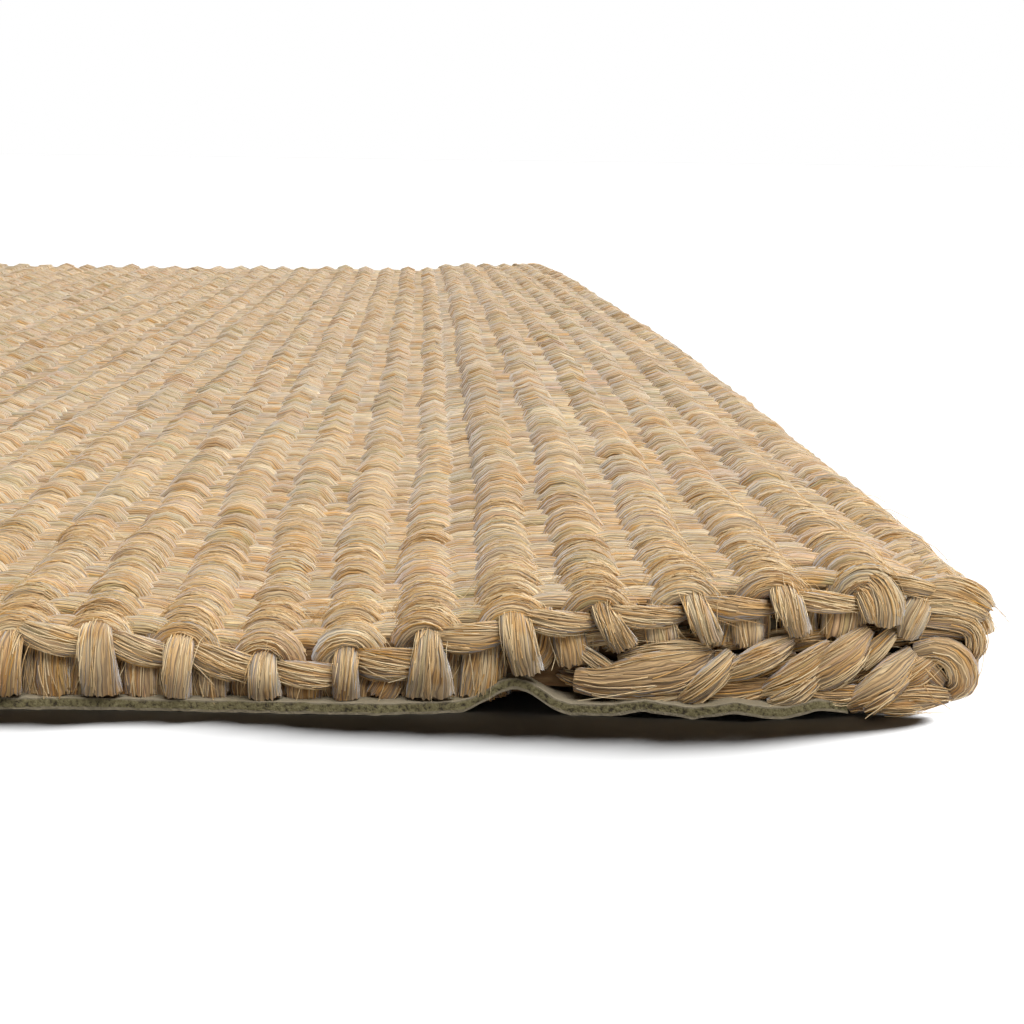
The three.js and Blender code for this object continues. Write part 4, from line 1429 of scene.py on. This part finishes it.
def build_folds(weave, sizes):
    """The picks where they go round the two long folds."""
    draw = np.random.RandomState(sizes.seed + 60)
    for side, title in ((1, "right"), (-1, "left")):
        yarns = Yarns()
        for pick in range(PICK_COUNT):
            from_front = weave.pick_from_front(pick, side * HALF_WIDTH)
            y = depth_place(side * (HALF_WIDTH - EDGE_INSET), from_front)
            edge = edge_x(side, y)
            rise = cloth_top(side * (edge - CREST_INSET), y) / FOLD_CREST
            if side > 0:
                edge += 0.7 * (1 - float(smooth_rise(from_front, 0, 60)))
            outer_rib = abs(weave.rib_x(0 if side > 0 else RIB_COUNT - 1, from_front))
            stretch = (edge - outer_rib - UPPER_FOLD[2][0]) / (UPPER_FOLD[0][0] - UPPER_FOLD[2][0])
            for route, shift in ((UPPER_FOLD, 0.0), (LOWER_FOLD, 0.5 * PICK_PITCH)):
                path = smooth_path(route, 8)
                if route is UPPER_FOLD:
                    beyond = np.maximum(path[:, 0] - UPPER_FOLD[2][0], 0)
                    path[:, 0] += beyond * (max(stretch, 0.3) - 1)
                line = np.stack(
                    (
                        side * (edge - path[:, 0] + draw.normal(0, 0.08)),
                        np.full(len(path), y + shift + draw.normal(0, 0.12)), path[:, 1] * rise
                    ),
                    axis=1
                )
                wide = 4.1 * (1 + draw.normal(0, 0.05))
                yarns.add(line, (0, side, 0), wide, 2.1, draw.uniform(-0.4, 0.4), 0.1, draw.uniform(0, 1))
        sweep_yarns(yarns, f"fold_{title}", FOLD_DETAIL, sizes.seed + 61)


class RUG_OT_ground(Operator):
    """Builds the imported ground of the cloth"""

    bl_idname = "rug.ground"
    bl_label = "Ground cloth"

    def execute(self, context):
        build_ground(context.scene.rug_sizes)
        return {"FINISHED"}


class RUG_OT_backing(Operator):
    """Builds the latex sheet under the cloth"""

    bl_idname = "rug.backing"
    bl_label = "Latex backing"

    def execute(self, context):
        build_backing()
        build_lumps(context.scene.rug_sizes)
        return {"FINISHED"}


class RUG_OT_field(Operator):
    """Builds the weft yarns of the rug's face"""

    bl_idname = "rug.field"
    bl_label = "Weft yarns"

    def execute(self, context):
        sizes = context.scene.rug_sizes
        weave = Weave(sizes.seed)
        build_arches(weave, sizes)
        build_valleys(weave, sizes)
        return {"FINISHED"}


class RUG_OT_edges(Operator):
    """Builds the strands at the two ends and round the two long folds"""

    bl_idname = "rug.edges"
    bl_label = "Edge yarns"

    def execute(self, context):
        for needed in ("ground_cloth", "latex_sheet", "latex_lumps"):
            if needed not in context.scene.objects:
                raise RuntimeError(f"The edge yarns need {needed}: build it first")
        sizes = context.scene.rug_sizes
        weave = Weave(sizes.seed)
        build_end(weave, -1, sizes)
        build_end(weave, 1, sizes)
        build_folds(weave, sizes)
        return {"FINISHED"}


class RUG_OT_stage(Operator):
    """Builds the floor, the lights and the camera"""

    bl_idname = "rug.stage"
    bl_label = "Stage"

    def execute(self, context):
        if "ground_cloth" not in context.scene.objects:
            raise RuntimeError("The stage needs the rug: build it first")
        build_floor()
        build_lights(context.scene.rug_stage)
        build_camera()
        return {"FINISHED"}


def paint_floor(tree):
    """Matt white paint: even, with hardly any gloss."""
    add = partial(add_node, tree)
    colour = bpy.context.scene.rug_stage.floor_colour
    return add(PRINCIPLED, {"Base Color": (*colour, 1), "Roughness": 0.9, "Specular IOR Level": 0.1})


def build_floor():
    """A plain pale floor."""
    mesh = bpy.data.meshes.new("floor")
    low, high = -FLOOR_REACH, FLOOR_REACH
    mesh.from_pydata([(low, low, 0), (high, low, 0), (high, high, 0), (low, high, 0)], [], [(0, 1, 2, 3)])
    mesh.materials.append(material_once("matt white floor", paint_floor))
    add_object("floor", mesh)


def build_lights(stage):
    """A soft box over the rug, a weaker one behind it, and the floor's own light, which casts the shadow."""
    world = bpy.data.worlds.new("studio")
    bpy.context.scene.world = world
    world.use_nodes = True
    tree = world.node_tree
    tree.nodes.clear()
    add = partial(add_node, tree)
    direction = add("ShaderNodeTexCoord")
    split = add("ShaderNodeSeparateXYZ", [direction.outputs["Generated"]])
    # White to the eye all over, but only a low band of it lights the rug
    band = add(
        MAP_RANGE,
        {"Value": split.outputs["Z"], "From Min": 0.08, "From Max": 0.11, "To Min": 1.0, "To Max": stage.sky},
        interpolation_type="SMOOTHSTEP"
    )
    seen = add("ShaderNodeLightPath")
    strength = add(MATHS, [band, seen.outputs["Is Camera Ray"]], operation="MAXIMUM")
    light = add("ShaderNodeBackground", {"Color": (1, 1, 1, 1), "Strength": strength})
    add("ShaderNodeOutputWorld", {"Surface": light})
    bpy.context.scene.view_settings.view_transform = "Standard"

    rug = bpy.data.collections.new("rug")
    ground = bpy.data.collections.new("floor only")
    for made in bpy.context.scene.objects:
        if made.type == "MESH":
            (ground if made.name == "floor" else rug).objects.link(made)
    key = soft_light("key", stage.key, *KEY_LIGHT, rug)
    key.color = stage.key_colour
    soft_light("rim", stage.rim, *RIM_LIGHT, rug)
    soft_light("floor light", stage.floor_light, *FLOOR_LIGHT, ground)


def soft_light(name, strength, spread, direction, lit):
    """A distant light of a soft box's width that lights one collection."""
    data = bpy.data.lights.new(name, "SUN")
    data.energy = strength
    data.angle = math.radians(spread)
    lamp = add_object(name, data)
    lamp.rotation_euler = Vector(direction).to_track_quat("-Z", "Y").to_euler()
    lamp.light_linking.receiver_collection = lit
    return data


def build_camera():
    """The camera at the photo's angle."""
    data = bpy.data.cameras.new("camera")
    data.lens = CAMERA_LENS
    data.sensor_width = CAMERA_SENSOR
    data.clip_start = 0.01
    data.clip_end = 50
    camera = add_object("camera", data)
    turn, dip, roll = (math.radians(value) for value in (CAMERA_TURN, CAMERA_DIP, CAMERA_ROLL))
    ahead = Vector((math.sin(turn) * math.cos(dip), math.cos(turn) * math.cos(dip), -math.sin(dip)))
    right = Vector((math.cos(turn), -math.sin(turn), 0))
    above = right.cross(ahead)
    right, above = (
        right * math.cos(roll) + above * math.sin(roll), above * math.cos(roll) - right * math.sin(roll)
    )
    camera.matrix_world = Matrix((right, above, -ahead)).transposed().to_4x4()
    camera.location = Vector(CAMERA_PLACE) * MM
    bpy.context.scene.camera = camera


class RUG_PT_panel(Panel):
    """Lists the rug's sizes, colours and building steps"""

    bl_idname = "RUG_PT_panel"
    bl_label = "Sisal rug"
    bl_space_type = "VIEW_3D"
    bl_region_type = "UI"
    bl_category = "Rug"

    def draw(self, context):
        for group in (context.scene.rug_sizes, context.scene.rug_colours, context.scene.rug_stage):
            box = self.layout.box()
            for key in group.__annotations__:
                box.prop(group, key)
        for operator in BUILDERS:
            self.layout.operator(operator.bl_idname)


BUILDERS = (RUG_OT_ground, RUG_OT_backing, RUG_OT_field, RUG_OT_edges, RUG_OT_stage)
CLASSES = (RugSizes, RugColours, StageSettings, *BUILDERS, RUG_PT_panel)


def register():
    for cls in CLASSES:
        bpy.utils.register_class(cls)
    bpy.types.Scene.rug_sizes = PointerProperty(type=RugSizes)
    bpy.types.Scene.rug_colours = PointerProperty(type=RugColours)
    bpy.types.Scene.rug_stage = PointerProperty(type=StageSettings)


def unregister():
    del bpy.types.Scene.rug_stage
    del bpy.types.Scene.rug_colours
    del bpy.types.Scene.rug_sizes
    for cls in reversed(CLASSES):
        bpy.utils.unregister_class(cls)


def main():
    """Builds everything in order."""
    register()
    bpy.ops.rug.ground()
    bpy.ops.rug.backing()
    bpy.ops.rug.field()
    bpy.ops.rug.edges()
    bpy.ops.rug.stage()


if __name__ == "__main__":
    main()
